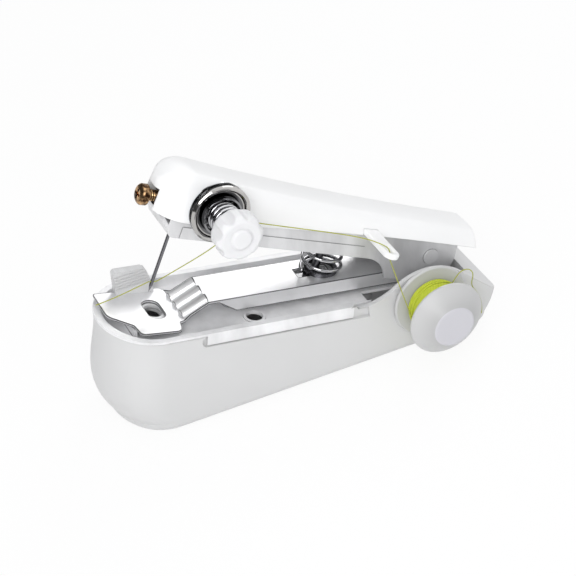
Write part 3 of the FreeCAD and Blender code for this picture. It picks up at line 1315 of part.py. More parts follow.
def write():
    """Check every object and write each sub-part to its own file."""
    doc.recompute()
    for item in doc.Objects:
        if "Invalid" in item.State or "Error" in item.State:
            raise RuntimeError(f"{item.Label} failed: {item.State}")
    os.makedirs("parts", exist_ok=True)
    for node in nodes:
        shape = node.Shape
        if shape.isNull() or not shape.isValid() or not shape.Solids:
            raise RuntimeError(f"{node.Label} has no valid solid")
        shape.exportStep(f"parts/{node.Label}.step")
        print(f"{node.Label}: {len(shape.Solids)} solid, {shape.Volume:.1f} cubic mm")


build()
write()
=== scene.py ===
"""Dressed model of a hand-held manual sewing machine that is squeezed like a stapler.

The frame is X along the base with the needle end at -X, the spool side at -Y and Z up, in metres.
"""
from __future__ import annotations

import json
import logging
import math
from dataclasses import dataclass
from enum import Enum

import bpy
import numpy as np
from mathutils import Matrix, Vector

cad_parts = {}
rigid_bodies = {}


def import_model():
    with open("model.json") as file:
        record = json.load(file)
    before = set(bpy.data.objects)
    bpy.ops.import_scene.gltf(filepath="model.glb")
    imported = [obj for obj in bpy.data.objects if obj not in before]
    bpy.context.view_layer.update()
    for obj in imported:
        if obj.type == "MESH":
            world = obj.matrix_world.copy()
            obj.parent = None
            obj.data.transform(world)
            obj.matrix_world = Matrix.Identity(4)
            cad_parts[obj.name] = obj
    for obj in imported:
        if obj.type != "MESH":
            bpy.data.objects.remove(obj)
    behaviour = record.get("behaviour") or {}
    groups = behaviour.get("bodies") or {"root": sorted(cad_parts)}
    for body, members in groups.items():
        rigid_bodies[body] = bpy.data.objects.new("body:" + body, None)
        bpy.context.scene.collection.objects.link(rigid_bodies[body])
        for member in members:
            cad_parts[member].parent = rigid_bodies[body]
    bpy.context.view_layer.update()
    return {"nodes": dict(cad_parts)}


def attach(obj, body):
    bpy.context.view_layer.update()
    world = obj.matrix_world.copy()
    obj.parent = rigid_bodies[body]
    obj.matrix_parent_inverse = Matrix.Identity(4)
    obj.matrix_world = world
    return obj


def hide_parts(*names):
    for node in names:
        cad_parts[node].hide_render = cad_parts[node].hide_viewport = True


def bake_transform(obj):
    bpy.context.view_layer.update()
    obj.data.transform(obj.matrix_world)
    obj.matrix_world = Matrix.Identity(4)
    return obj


LOG = logging.getLogger("sewing_machine")
MM = 0.001
FULL_TURN = 2.0 * math.pi
Colour = tuple[float, float, float]
Point = tuple[float, float, float]
Span = tuple[float, float]
Socket = bpy.types.NodeSocket
Piece = bpy.types.Object


# Places that several pieces share

@dataclass(frozen=True)
class ArmFrame:
    """Hinge place and rest tilt of the arm, in millimetres and degrees."""

    hinge_x: float = 42.0
    hinge_z: float = 25.0
    tilt: float = 25.4

    def world(self, u: float | np.ndarray, n: float | np.ndarray, v: float | np.ndarray) -> Point:
        """World place of a point that is given along the arm, to the spool side and square to the arm.

        Args:
            u: Millimetres from the hinge towards the needle.
            n: Millimetres to the spool side.
            v: Millimetres square to the arm, upwards.

        Returns:
            The place in metres.
        """
        lean, level = math.sin(math.radians(self.tilt)), math.cos(math.radians(self.tilt))
        x = self.hinge_x - u * level + v * lean
        z = self.hinge_z + u * lean + v * level
        return x * MM, -n * MM, z * MM


ARM = ArmFrame()
TENSION_AXIS: Point = ARM.world(76.6, 0.0, 8.2)
SPOOL_AXIS: Point = (36.1 * MM, 0.0, 17.74 * MM)


# Working out surfaces

# Steps of a smooth route between two of its points
ROUTE_STEPS = 16


class Axis(Enum):
    """The way that a turned piece's axis points."""

    UP = (0.0, 0.0, 1.0)
    SPOOL_SIDE = (0.0, -1.0, 0.0)


class Ends(Enum):
    """How the first and last ring of a grid are closed."""

    CAPPED = "each with a face"
    JOINED = "on each other"


def unit(rows: np.ndarray) -> np.ndarray:
    """Scale each row to a length of one."""
    return rows / np.linalg.norm(rows, axis=-1, keepdims=True)


def make_piece(name: str, points: np.ndarray, faces: list[list[int]], uv: np.ndarray) -> Piece:
    """Put points and faces into a smooth mesh object at the origin.

    Args:
        name: The piece's name.
        points: Vertex places in metres, in the frame of the model.
        faces: Vertex indices of each face.
        uv: One texture place for each vertex.

    Returns:
        The new object.
    """
    mesh = bpy.data.meshes.new(name)
    mesh.from_pydata(points.tolist(), [], faces)
    layer = mesh.uv_layers.new(name="along")
    corners = np.empty(len(mesh.loops), dtype=np.int32)
    mesh.loops.foreach_get("vertex_index", corners)
    layer.data.foreach_set("uv", uv[corners].astype(np.float32).ravel())
    mesh.polygons.foreach_set("use_smooth", np.ones(len(mesh.polygons), dtype=bool))
    mesh.update()
    piece = bpy.data.objects.new(name, mesh)
    bpy.context.scene.collection.objects.link(piece)
    return piece


def ring_piece(name: str, rings: np.ndarray, uv: np.ndarray, ends: Ends = Ends.CAPPED) -> Piece:
    """Make a closed piece of rings of points, one after the other.

    Args:
        name: The piece's name.
        rings: Points by ring, by place round the ring and by axis.
        uv: One texture place for each point.
        ends: How the first and last ring are closed.

    Returns:
        The new object.
    """
    count, sides = rings.shape[:2]
    index = np.arange(count * sides).reshape(count, sides)
    after = np.roll(index, -1, axis=1)
    quads = np.stack([index, after, np.roll(after, -1, axis=0), np.roll(index, -1, axis=0)], axis=-1)
    if ends is Ends.JOINED:
        faces = quads.reshape(-1, 4).tolist()
    else:
        faces = quads[:-1].reshape(-1, 4).tolist() + [index[0, ::-1].tolist(), index[-1].tolist()]
    return make_piece(name, rings.reshape(-1, 3), faces, uv.reshape(-1, 2))


def tube(name: str, path: np.ndarray, radius: float, sides: int, guide: Point) -> Piece:
    """Carry a circle along a path.

    The surface is path(s) + radius * (cos(a) * across(s) - sin(a) * over(s)), where across is square to the
    path's direction and to the guide, and over is square to both.

    Args:
        name: The piece's name.
        path: Points of the centre line.
        radius: Radius of the tube.
        sides: Points around the tube.
        guide: A direction that the path never runs along.

    Returns:
        The tube with both ends closed.
    """
    way = unit(np.gradient(path, axis=0))
    across = unit(np.cross(way, np.broadcast_to(guide, path.shape)))
    over = np.cross(across, way)
    angle = np.linspace(0.0, FULL_TURN, sides, endpoint=False)
    cosine, sine = np.cos(angle)[None, :, None], np.sin(angle)[None, :, None]
    ring = cosine * across[:, None, :] - sine * over[:, None, :]
    steps = np.linalg.norm(np.diff(path, axis=0), axis=1)
    along = np.concatenate([[0.0], np.cumsum(steps)]) / MM
    uv = np.stack(np.meshgrid(along, np.sin(angle), indexing="ij"), axis=-1)
    return ring_piece(name, path[:, None, :] + radius * ring, uv)


def smooth_route(points: list[Point]) -> np.ndarray:
    """Read points from the spline that has a route's points as its control points.

    Args:
        points: The route's points in metres.

    Returns:
        Points along the smooth line.
    """
    curve = bpy.data.curves.new("route", "CURVE")
    curve.dimensions = "3D"
    spline = curve.splines.new("NURBS")
    spline.points.add(len(points) - 1)
    spline.points.foreach_set("co", np.hstack([np.array(points), np.ones((len(points), 1))]).ravel())
    spline.order_u = 3
    spline.use_endpoint_u = True
    spline.resolution_u = ROUTE_STEPS
    carrier = bpy.data.objects.new("route", curve)
    bpy.context.scene.collection.objects.link(carrier)
    bpy.context.view_layer.update()
    mesh = bpy.data.meshes.new_from_object(carrier.evaluated_get(bpy.context.evaluated_depsgraph_get()))
    line = np.empty(len(mesh.vertices) * 3)
    mesh.vertices.foreach_get("co", line)
    bpy.data.objects.remove(carrier)
    bpy.data.curves.remove(curve)
    bpy.data.meshes.remove(mesh)
    return line.reshape(-1, 3)


# Finishes

# Sockets of a colour mix: the two colours that go in and the one that comes out
MIX_UNDER, MIX_OVER, MIX_RESULT = 6, 7, 2
# Settings that every pattern of its kind shares
NOISE_FALLOFF = 0.55
LINE_WOBBLE = 0.5
LINE_DETAIL = 1.0
LINE_DETAIL_SCALE = 3.0
# Openness at which a dark edge, or the painted shade in a crevice, shows in full, and at which it is gone
EDGE_OPENNESS: Span = (0.60, 0.96)
PAINTED_SHADE_OPENNESS: Span = (0.30, 0.85)
RISING: Span = (0.0, 1.0)
FALLING: Span = (1.0, 0.0)
PLASTIC_IOR = 1.49
# Steps of the drawing marks in a metre along each axis
LENGTHWISE: Point = (60.0, 1600.0, 1600.0)
ALL_WAYS: Point = (600.0, 600.0, 600.0)
# Colours of the painted shade laid in crevices, tight corners and gaps between coils
SOFT_PAINTED_SHADE: Colour = (0.20, 0.20, 0.21)
MID_PAINTED_SHADE: Colour = (0.09, 0.09, 0.095)
DEEP_PAINTED_SHADE: Colour = (0.01, 0.01, 0.01)
WHITE: Colour = (1.0, 1.0, 1.0)


def opaque(colour: Colour) -> tuple[float, float, float, float]:
    """A colour with full cover."""
    return (*colour, 1.0)


def dimmed(colour: Colour, share: float) -> Colour:
    """A share of a colour."""
    return tuple(channel * share for channel in colour)


class NodeTree:
    """A node tree with a few shortcuts."""

    def __init__(self, tree: bpy.types.NodeTree) -> None:
        """Start from an empty tree."""
        self.tree = tree
        self.tree.nodes.clear()

    def link(self, source: Socket, target: Socket) -> None:
        """Join two sockets."""
        self.tree.links.new(source, target)

    def add(self, kind: str, **values: object) -> bpy.types.Node:
        """Add a node and set its input sockets.

        Args:
            kind: The node's type, without the words that all shader nodes start with.
            values: Input values, with underscores for the spaces in a socket's name.

        Returns:
            The new node.
        """
        node = self.tree.nodes.new("ShaderNode" + kind)
        for name, value in values.items():
            node.inputs[name.replace("_", " ")].default_value = value
        return node

    def calculate(self, operation: str, first: Socket, second: Socket | float) -> Socket:
        """Work out one number from two.

        Args:
            operation: Name of the sum.
            first: The first number.
            second: The second number, from a socket or plain.

        Returns:
            The socket that gives the result.
        """
        node = self.add("Math")
        node.operation = operation
        self.link(first, node.inputs[0])
        if isinstance(second, Socket):
            self.link(second, node.inputs[1])
        else:
            node.inputs[1].default_value = second
        return node.outputs[0]

    def spread(self, value: Socket, source: Span, target: Span) -> Socket:
        """Stretch a value smoothly from one range to another.

        Args:
            value: The value.
            source: Its range.
            target: The range that it gets.

        Returns:
            The socket that gives the stretched value.
        """
        node = self.add("MapRange", From_Min=source[0], From_Max=source[1], To_Min=target[0],
                        To_Max=target[1])
        node.interpolation_type = "SMOOTHSTEP"
        self.link(value, node.inputs["Value"])
        return node.outputs["Result"]

    def any_ray(self, *kinds: str) -> Socket:
        """Tell rays of some kinds from all others.

        Args:
            kinds: Names of the sockets that tell the kinds.

        Returns:
            The socket that gives one for such a ray and nought for others.
        """
        rays = self.add("LightPath").outputs
        share = rays[kinds[0]]
        for kind in kinds[1:]:
            share = self.calculate("MAXIMUM", share, rays[kind])
        return share

    def blend_shaders(self, share: Socket, first: Socket, second: Socket) -> Socket:
        """Go from one shader to another as a share goes from nought to one.

        Args:
            share: The share of the second shader.
            first: The first shader.
            second: The second shader.

        Returns:
            The socket that gives the blend.
        """
        node = self.add("MixShader")
        for target, source in zip(node.inputs, (share, first, second)):
            self.link(source, target)
        return node.outputs["Shader"]


class SurfaceBench(NodeTree):
    """A material's node tree."""

    def __init__(self, name: str) -> None:
        """Start a material with a shader and an output.

        Args:
            name: The material's name.
        """
        self.material = bpy.data.materials.new(name)
        self.material.use_nodes = True
        super().__init__(self.material.node_tree)
        self.output = self.add("OutputMaterial")
        self.shader = self.add("BsdfPrincipled")
        self.link(self.shader.outputs["BSDF"], self.output.inputs["Surface"])

    def settle(self, **values: object) -> None:
        """Set plain values on the shader's own sockets."""
        for name, value in values.items():
            self.shader.inputs[name.replace("_", " ")].default_value = value

    def drive(self, socket: str, source: Socket) -> None:
        """Let a pattern set one of the shader's sockets."""
        self.link(source, self.shader.inputs[socket])

    def gloss(self, pattern: Socket, roughness: float, change: Span) -> None:
        """Let the roughness go from one change to the other as a pattern goes from nought to one."""
        ends = (roughness + change[0], roughness + change[1])
        self.drive("Roughness", self.spread(pattern, RISING, ends))

    def placed(self, source: str = "Object", scale: Point = (1.0, 1.0, 1.0),
               shift: Point = (0.0, 0.0, 0.0)) -> Socket:
        """A pattern's place on the piece.

        Args:
            source: Object or UV.
            scale: Stretch along each axis.
            shift: Move along each axis, after the stretch.

        Returns:
            The socket that gives the place.
        """
        place = self.add("TexCoord")
        mapping = self.add("Mapping", Location=shift, Scale=scale)
        self.link(place.outputs[source], mapping.inputs["Vector"])
        return mapping.outputs["Vector"]

    def from_axis(self, axis: Point) -> Socket:
        """Distance from an axis that runs across the model.

        Args:
            axis: A place on the axis.

        Returns:
            The socket that gives the distance.
        """
        reach = self.add("VectorMath")
        reach.operation = "LENGTH"
        self.link(self.placed(scale=(1.0, 0.0, 1.0), shift=(-axis[0], 0.0, -axis[2])), reach.inputs[0])
        return reach.outputs["Value"]

    def noise(self, place: Socket, scale: float, detail: float) -> Socket:
        """Soft noise over the piece.

        Args:
            place: The pattern's place.
            scale: Its steps in a metre.
            detail: Its finer steps.

        Returns:
            The socket that gives values from nought to one.
        """
        texture = self.add("TexNoise", Scale=scale, Detail=detail, Roughness=NOISE_FALLOFF)
        self.link(place, texture.inputs["Vector"])
        return texture.outputs["Fac"]

    def lines(self, place: Socket, scale: float, direction: str) -> Socket:
        """Nearly even lines across one direction of the piece.

        Args:
            place: The pattern's place.
            scale: Its steps in a unit of the place.
            direction: Name of the direction.

        Returns:
            The socket that gives values from nought to one.
        """
        texture = self.add("TexWave", Scale=scale, Distortion=LINE_WOBBLE, Detail=LINE_DETAIL,
                           Detail_Scale=LINE_DETAIL_SCALE)
        texture.bands_direction = direction
        self.link(place, texture.inputs["Vector"])
        return texture.outputs["Fac"]

    def ramp(self, value: Socket, ends: Span, first: Colour, last: Colour) -> Socket:
        """Colours from first to last as a value goes from one end to the other.

        Args:
            value: The value.
            ends: Where the first colour stops and the last one starts.
            first: The first colour.
            last: The last colour.

        Returns:
            The socket that gives the colour.
        """
        node = self.add("ValToRGB")
        for element, position, colour in zip(node.color_ramp.elements, ends, (first, last)):
            element.position = position
            element.color = opaque(colour)
        self.link(value, node.inputs["Fac"])
        return node.outputs["Color"]

    def overlay(self, share: Socket, colour: Colour) -> None:
        """Lay a colour over the shader's colour.

        Args:
            share: One where the new colour covers and nought where it doesn't.
            colour: The new colour.
        """
        node = self.add("Mix")
        node.data_type = "RGBA"
        self.link(share, node.inputs["Factor"])
        self.link(self.shader.inputs["Base Color"].links[0].from_socket, node.inputs[MIX_UNDER])
        node.inputs[MIX_OVER].default_value = opaque(colour)
        self.drive("Base Color", node.outputs[MIX_RESULT])

    def corners(self, reach: float, openness: Span, outer: bool) -> Socket:
        """Find the outer edges, or the tight inner corners that get painted shade.

        Args:
            reach: How far a corner shows.
            openness: Openness at which it shows in full, and at which it is gone.
            outer: Whether it is an outer edge.

        Returns:
            The socket that gives one along corners and nought elsewhere.
        """
        node = self.add("AmbientOcclusion", Distance=reach)
        node.inside = outer
        return self.spread(node.outputs["AO"], openness, FALLING)

    def bump(self, height: Socket, distance: float, strength: float, round_edge: float = 0.0) -> None:
        """Give the surface a fine relief, and soft edges where a radius is given.

        Args:
            height: The relief's pattern.
            distance: Its full height.
            strength: The share of it that shows.
            round_edge: Radius of the soft edges.
        """
        node = self.add("Bump", Distance=distance, Strength=strength)
        self.link(height, node.inputs["Height"])
        if round_edge > 0.0:
            self.link(self.add("Bevel", Radius=round_edge).outputs["Normal"], node.inputs["Normal"])
        self.drive("Normal", node.outputs["Normal"])


@dataclass(frozen=True)
class SurfaceFinish:
    """A named finish that lays out its own shader."""

    name: str

    def bench(self) -> SurfaceBench:
        """Lay out the shader."""
        return SurfaceBench(self.name)

    def material(self) -> bpy.types.Material:
        """Build the material."""
        return self.bench().material


@dataclass(frozen=True)
class MouldedPlastic(SurfaceFinish):
    """Injection-moulded plastic with a faint flow pattern, fine grain and soft edges."""

    colour: Colour
    roughness: float
    grain: float
    inner_glow: float = 0.0
    soft_edge: float = 0.3 * MM
    flow_scale: float = 28.0
    flow_ends: Span = (0.3, 0.7)
    flow_shade: float = 0.965
    grain_scale: float = 2600.0
    grain_height: float = 0.03 * MM
    detail: float = 2.0
    gloss_change: Span = (-0.05, 0.06)
    glow_radius: Point = (1.6 * MM, 1.5 * MM, 1.6 * MM)

    def bench(self) -> SurfaceBench:
        """Lay out the shader.

        Returns:
            The bench, with a broad flow pattern as its colour.
        """
        bench = super().bench()
        broad = bench.noise(bench.placed(), self.flow_scale, self.detail)
        fine = bench.noise(bench.placed(), self.grain_scale, self.detail)
        shaded = dimmed(self.colour, self.flow_shade)
        bench.drive("Base Color", bench.ramp(broad, self.flow_ends, shaded, self.colour))
        bench.gloss(fine, self.roughness, self.gloss_change)
        bench.bump(fine, self.grain_height, self.grain, self.soft_edge)
        bench.settle(IOR=PLASTIC_IOR, Subsurface_Weight=self.inner_glow, Subsurface_Scale=1.0,
                     Subsurface_Radius=self.glow_radius)
        return bench


@dataclass(frozen=True)
class CappedPlastic(MouldedPlastic):
    """Moulded plastic of a spool, with painted shade that darkens it towards its hub, and a cap that has a
    tint of its own.
    """

    axis: Point = SPOOL_AXIS
    hub_radius: float = 5.6 * MM
    painted_shade_radius: float = 10.6 * MM
    hub_painted_shade_colour: Colour = (0.40, 0.40, 0.40)
    hub_painted_shade_share: float = 0.55
    cap_colour: Colour = (0.59, 0.585, 0.62)
    cap_start: float = 33.25 * MM
    cap_blend: float = 0.1 * MM

    def bench(self) -> SurfaceBench:
        """Lay out the shader.

        Returns:
            The bench, with painted shade that darkens the colour towards the hub, and a colour that changes
            where the cap starts.
        """
        bench = super().bench()
        # Painted shade: the flange's colour darkens towards the hub, where its fillet lies in shade.
        flange = (self.hub_radius, self.painted_shade_radius)
        shade = bench.spread(bench.from_axis(self.axis), flange, (self.hub_painted_shade_share, 0.0))
        bench.overlay(shade, self.hub_painted_shade_colour)
        split = bench.add("SeparateXYZ")
        bench.link(bench.placed(), split.inputs["Vector"])
        change = (-self.cap_start - self.cap_blend, -self.cap_start)
        bench.overlay(bench.spread(split.outputs["Y"], change, FALLING), self.cap_colour)
        return bench


@dataclass(frozen=True)
class KnurledPlastic(SurfaceFinish):
    """Plastic with a fine net of crossing lines for the finger."""

    colour: Colour
    roughness: float
    line_scale: float
    line_reach: Span = (0.0, 0.7)
    line_share: Span = (0.55, 1.0)
    line_height: float = 0.05 * MM
    relief: float = 0.35
    cloud_scale: float = 160.0
    cloud_detail: float = 3.0
    mottle_ends: Span = (0.2, 0.6)
    mottle_shade: float = 0.86
    soft_edge: float = 0.3 * MM

    def bench(self) -> SurfaceBench:
        """Lay out the shader.

        Returns:
            The bench.
        """
        bench = super().bench()
        lengthwise, upright = (bench.lines(bench.placed(), self.line_scale, way) for way in ("X", "Z"))
        net = bench.calculate("MULTIPLY", lengthwise, upright)
        cloud = bench.noise(bench.placed(), self.cloud_scale, self.cloud_detail)
        mottle = bench.calculate("MULTIPLY", bench.spread(net, self.line_reach, self.line_share), cloud)
        shaded = dimmed(self.colour, self.mottle_shade)
        bench.drive("Base Color", bench.ramp(mottle, self.mottle_ends, shaded, self.colour))
        bench.bump(net, self.line_height, self.relief, self.soft_edge)
        bench.settle(Roughness=self.roughness, IOR=PLASTIC_IOR)
        return bench


@dataclass(frozen=True)
class PlatedMetal(SurfaceFinish):
    """Plated sheet or wire with drawing marks and, where a reach is given, dark outer edges or painted
    shade in its tight corners.
    """

    colour: Colour
    roughness: float
    stroke: Point
    relief: float
    metallic: float = 1.0
    edge_width: float = 0.0
    painted_crevice_shade_reach: float = 0.0
    dark: Colour = (0.06, 0.06, 0.065)
    cloudy: float = 0.92
    stroke_height: float = 0.02 * MM
    gloss_change: Span = (-0.05, 0.08)
    cloud_scale: float = 110.0
    cloud_stretch: Point = (1.0, 1.0, 0.35)
    cloud_ends: Span = (0.32, 0.62)
    detail: float = 4.0

    def bench(self) -> SurfaceBench:
        """Lay out the shader.

        Returns:
            The bench, with cloudy plating as its colour.
        """
        bench = super().bench()
        strokes = bench.noise(bench.placed(scale=self.stroke), 1.0, self.detail)
        cloud = bench.noise(bench.placed(scale=self.cloud_stretch), self.cloud_scale, self.detail)
        clouded = dimmed(self.colour, self.cloudy)
        bench.drive("Base Color", bench.ramp(cloud, self.cloud_ends, clouded, self.colour))
        if self.edge_width > 0.0:
            bench.overlay(bench.corners(self.edge_width, EDGE_OPENNESS, outer=True), self.dark)
        # Painted shade: tight corners, creases and gaps between parts are darkened where shade falls.
        if self.painted_crevice_shade_reach > 0.0:
            bench.overlay(bench.corners(self.painted_crevice_shade_reach, PAINTED_SHADE_OPENNESS, outer=False), self.dark)
        bench.gloss(strokes, self.roughness, self.gloss_change)
        bench.bump(strokes, self.stroke_height, self.relief)
        bench.settle(Metallic=self.metallic)
        return bench


@dataclass(frozen=True)
class DishedMetal(PlatedMetal):
    """Polished disc whose dish inside the rolled rim is painted dark, a painted reflection of dark
    surroundings.
    """

    axis: Point = TENSION_AXIS
    dish_radius: float = 6.75 * MM
    dish_painted_reflection_colour: Colour = (0.14, 0.14, 0.145)
    half_blend: float = 0.15 * MM

    def bench(self) -> SurfaceBench:
        """Lay out the shader.

        Returns:
            The bench, with a colour that is dark nearer to the axis than the dish's radius.
        """
        bench = super().bench()
        # Painted reflection: the dish inside the rim is darkened to stand in for the dark things that it
        # reflects.
        change = (self.dish_radius - self.half_blend, self.dish_radius + self.half_blend)
        bench.overlay(bench.spread(bench.from_axis(self.axis), change, FALLING), self.dish_painted_reflection_colour)
        return bench


@dataclass(frozen=True)
class TarnishedBrass(SurfaceFinish):
    """Turned brass with brown tarnish in patches."""

    bright: Colour
    tarnish: Colour
    roughness: float
    patch_scale: float = 460.0
    patch_detail: float = 4.0
    patch_ends: Span = (0.42, 0.62)
    patch_height: float = 0.02 * MM
    relief: float = 0.3
    gloss_change: Span = (0.12, -0.05)

    def bench(self) -> SurfaceBench:
        """Lay out the shader.

        Returns:
            The bench.
        """
        bench = super().bench()
        patch = bench.noise(bench.placed(), self.patch_scale, self.patch_detail)
        bench.drive("Base Color", bench.ramp(patch, self.patch_ends, self.tarnish, self.bright))
        bench.gloss(patch, self.roughness, self.gloss_change)
        bench.bump(patch, self.patch_height, self.relief)
        bench.settle(Metallic=1.0)
        return bench


@dataclass(frozen=True)
class TwistedThread(SurfaceFinish):
    """Polyester thread whose plies run round it in a slant."""

    colour: Colour
    shadow: Colour
    plies_per_mm: float = 1.2
    slant: float = 0.3
    ply_ends: Span = (0.1, 0.75)
    ply_height: float = 0.06 * MM
    relief: float = 0.6
    roughness: float = 0.55
    sheen: float = 0.2

    def bench(self) -> SurfaceBench:
        """Lay out the shader.

        Returns:
            The bench.
        """
        bench = super().bench()
        plies = bench.lines(bench.placed("UV", (self.plies_per_mm, self.slant, 1.0)), 1.0, "DIAGONAL")
        bench.drive("Base Color", bench.ramp(plies, self.ply_ends, self.shadow, self.colour))
        bench.bump(plies, self.ply_height, self.relief)
        bench.settle(Roughness=self.roughness, Sheen_Weight=self.sheen)
        return bench


class Finish(Enum):
    """Every finish on the machine."""

    CASE = MouldedPlastic("white_case", (0.65, 0.65, 0.65), 0.36, grain=0.08)
    COVER = MouldedPlastic("white_cover", (0.93, 0.93, 0.93), 0.34, grain=0.06)
    KNOB = MouldedPlastic("milky_knob", (0.80, 0.80, 0.81), 0.38, grain=0.05, inner_glow=0.5,
                          soft_edge=0.9 * MM)
    SPOOL = CappedPlastic("spool_plastic", (0.56, 0.56, 0.56), 0.42, grain=0.08, inner_glow=0.1)
    GRIP = KnurledPlastic("grey_grip", (0.71, 0.71, 0.715), 0.5, line_scale=630.0)
    PRESSER = PlatedMetal("presser_sheet", (0.88, 0.88, 0.89), 0.34, LENGTHWISE, 0.05, metallic=0.64,
                          edge_width=0.45 * MM)
    # The tray and the channel get painted shade in their crevices; on the channel it is a painted shadow
    # line under the cover's lower edge.
    TRAY = PlatedMetal("tray_sheet", (0.92, 0.92, 0.93), 0.46, LENGTHWISE, 0.06, metallic=0.3,
                       painted_crevice_shade_reach=0.6 * MM, dark=SOFT_PAINTED_SHADE, cloudy=0.82)
    CHANNEL = PlatedMetal("channel_sheet", (0.76, 0.76, 0.77), 0.36, LENGTHWISE, 0.06, metallic=0.45,
                          painted_crevice_shade_reach=2.0 * MM, dark=MID_PAINTED_SHADE, cloudy=0.76)
    PIN = PlatedMetal("pin_plate", (0.75, 0.75, 0.76), 0.40, ALL_WAYS, 0.04, metallic=0.45)
    WORKS = PlatedMetal("inner_sheet", (0.60, 0.61, 0.63), 0.34, ALL_WAYS, 0.12)
    SEAT = PlatedMetal("dark_seat", (0.10, 0.10, 0.11), 0.26, ALL_WAYS, 0.05)
    BRIGHT = PlatedMetal("bright_plate", (0.80, 0.81, 0.83), 0.12, ALL_WAYS, 0.03)
    DISC = DishedMetal("rolled_disc", (0.50, 0.49, 0.48), 0.08, ALL_WAYS, 0.03)
    CUP = PlatedMetal("dark_cup", (0.28, 0.28, 0.29), 0.10, ALL_WAYS, 0.03)
    # Painted shade darkens the gaps between the spring wire's coils.
    WIRE = PlatedMetal("spring_wire", (0.56, 0.56, 0.58), 0.06, ALL_WAYS, 0.03, painted_crevice_shade_reach=1.8 * MM,
                       dark=DEEP_PAINTED_SHADE)
    NEEDLE = PlatedMetal("needle_steel", (0.20, 0.20, 0.215), 0.18, ALL_WAYS, 0.04)
    BRASS = TarnishedBrass("tarnished_brass", (0.66, 0.42, 0.22), (0.05, 0.025, 0.012), 0.22)
    THREAD = TwistedThread("lime_thread", (0.64, 0.72, 0.035), (0.42, 0.49, 0.012))
    FREE_THREAD = TwistedThread("free_thread", (0.46, 0.48, 0.05), (0.30, 0.32, 0.02))


Dressing = dict[Finish, tuple[str, ...]]


class Wardrobe:
    """Keeps one material for each finish and puts them on pieces."""

    def __init__(self, nodes: dict[str, Piece]) -> None:
        """Build every finish.

        Args:
            nodes: The solids by name.
        """
        self.nodes = nodes
        self.materials = {finish: finish.value.material() for finish in Finish}

    def dress(self, piece: Piece, finish: Finish, slot: str) -> None:
        """Give a new piece its finish."""
        piece.data.materials.append(self.materials[finish])

    def dress_solid(self, name: str, finish: Finish) -> None:
        """Give all of a solid's slots a finish.

        Args:
            name: The solid's name.
            finish: The finish.
        """
        solid = self.nodes[name]
        if not solid.material_slots:
            solid.data.materials.append(self.materials[finish])
        for slot in solid.material_slots:
            slot.material = self.materials[finish]


@dataclass
class SubAssembly:
    """Solids and new pieces that come off the bench together, with the finishes that they get."""

    wardrobe: Wardrobe

    def solids(self) -> Dressing:
        """The solids that show, by finish."""
        return {}

    def pieces(self) -> list[Piece]:
        """Make the new pieces, of which there may be none."""
        return []

    def build(self) -> None:
        """Dress the solids and make the new pieces."""
        for finish, names in self.solids().items():
            for name in names:
                self.wardrobe.dress_solid(name, finish)
                LOG.info("%s dressed as %s", name, finish.value.name)
        for piece in self.pieces():
            LOG.info("%s: %d faces", piece.name, len(piece.data.polygons))


# Base, works and presser

@dataclass
class BaseUnit(SubAssembly):
    """Moulded base with its steel tray, needle plate and hinge."""

    def solids(self) -> Dressing:
        """The solids that show, by finish."""
        return {
            Finish.CASE: ("base_shell",),
            Finish.TRAY: ("base_frame", "throat_plate"),
            Finish.BRIGHT: ("base_screws", "hinge_clip"),
            Finish.PIN: ("hinge_pin",),
        }


@dataclass
class LooperDrive(SubAssembly):
    """The hook under the needle plate and what swings it."""

    def solids(self) -> Dressing:
        """The solids that show, by finish."""
        return {
            Finish.WORKS: ("looper_bracket", "looper_hook", "looper_crank", "looper_shaft", "drive_link"),
            Finish.BRIGHT: ("drive_pin",),
        }


@dataclass
class PresserUnit(SubAssembly):
    """Stamped foot with its lift tab, and the spring that holds the arm off it."""

    spring_foot: Point = (9.8 * MM, 0.0, 26.78 * MM)
    spring_tilt: float = 9.93
    top_turn_lean: float = 15.47
    wire: float = 0.55 * MM
    wire_sides: int = 12
    foot_radius: float = 5.9 * MM
    head_radius: float = 5.2 * MM
    low: float = 0.55 * MM
    high: float = 16.4 * MM
    turns: float = 5.0
    samples: int = 361

    def solids(self) -> Dressing:
        """The solids that show, by finish."""
        return {
            Finish.PRESSER: ("presser_plate",),
            Finish.GRIP: ("lift_tab",),
            Finish.SEAT: ("spring_seat",),
        }

    def pieces(self) -> list[Piece]:
        """Wind the spring.

        The centre line is radius(s) * (-cos(t), sin(t)) at height(s), with t from 0 to a full turn times
        the number of turns. Each turn leans more than the one below, up to the arm's slope on the presser.

        Returns:
            The spring, between the presser and the arm.
        """
        share = np.linspace(0.0, 1.0, self.samples)
        angle = FULL_TURN * self.turns * share
        radius = self.foot_radius + (self.head_radius - self.foot_radius) * share
        x = -radius * np.cos(angle)
        height = self.low + (self.high - self.low) * share
        slant = math.tan(math.radians(self.top_turn_lean))
        local = np.stack([x, radius * np.sin(angle), height - x * slant * share], axis=1)
        turn = np.array(Matrix.Rotation(math.radians(self.spring_tilt), 3, "Y"))
        axis = turn @ np.array(Axis.UP.value)
        foot = np.array(self.spring_foot)
        spring = tube("return_spring_wire", local @ turn.T + foot, self.wire, self.wire_sides, axis)
        self.wardrobe.dress(spring, Finish.WIRE, "spring_steel")
        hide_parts("return_spring")
        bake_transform(spring)
        return [spring]


# Arm, needle and tension set

@dataclass
class ArmUnit(SubAssembly):
    """Steel channel with its moulded cover, thread guide and limit post."""

    def solids(self) -> Dressing:
        """The solids that show, by finish."""
        return {
            Finish.COVER: ("arm_cover", "thread_guide"),
            Finish.CHANNEL: ("arm_channel",),
            Finish.BRIGHT: ("cover_screws",),
            Finish.SEAT: ("spring_post",),
        }


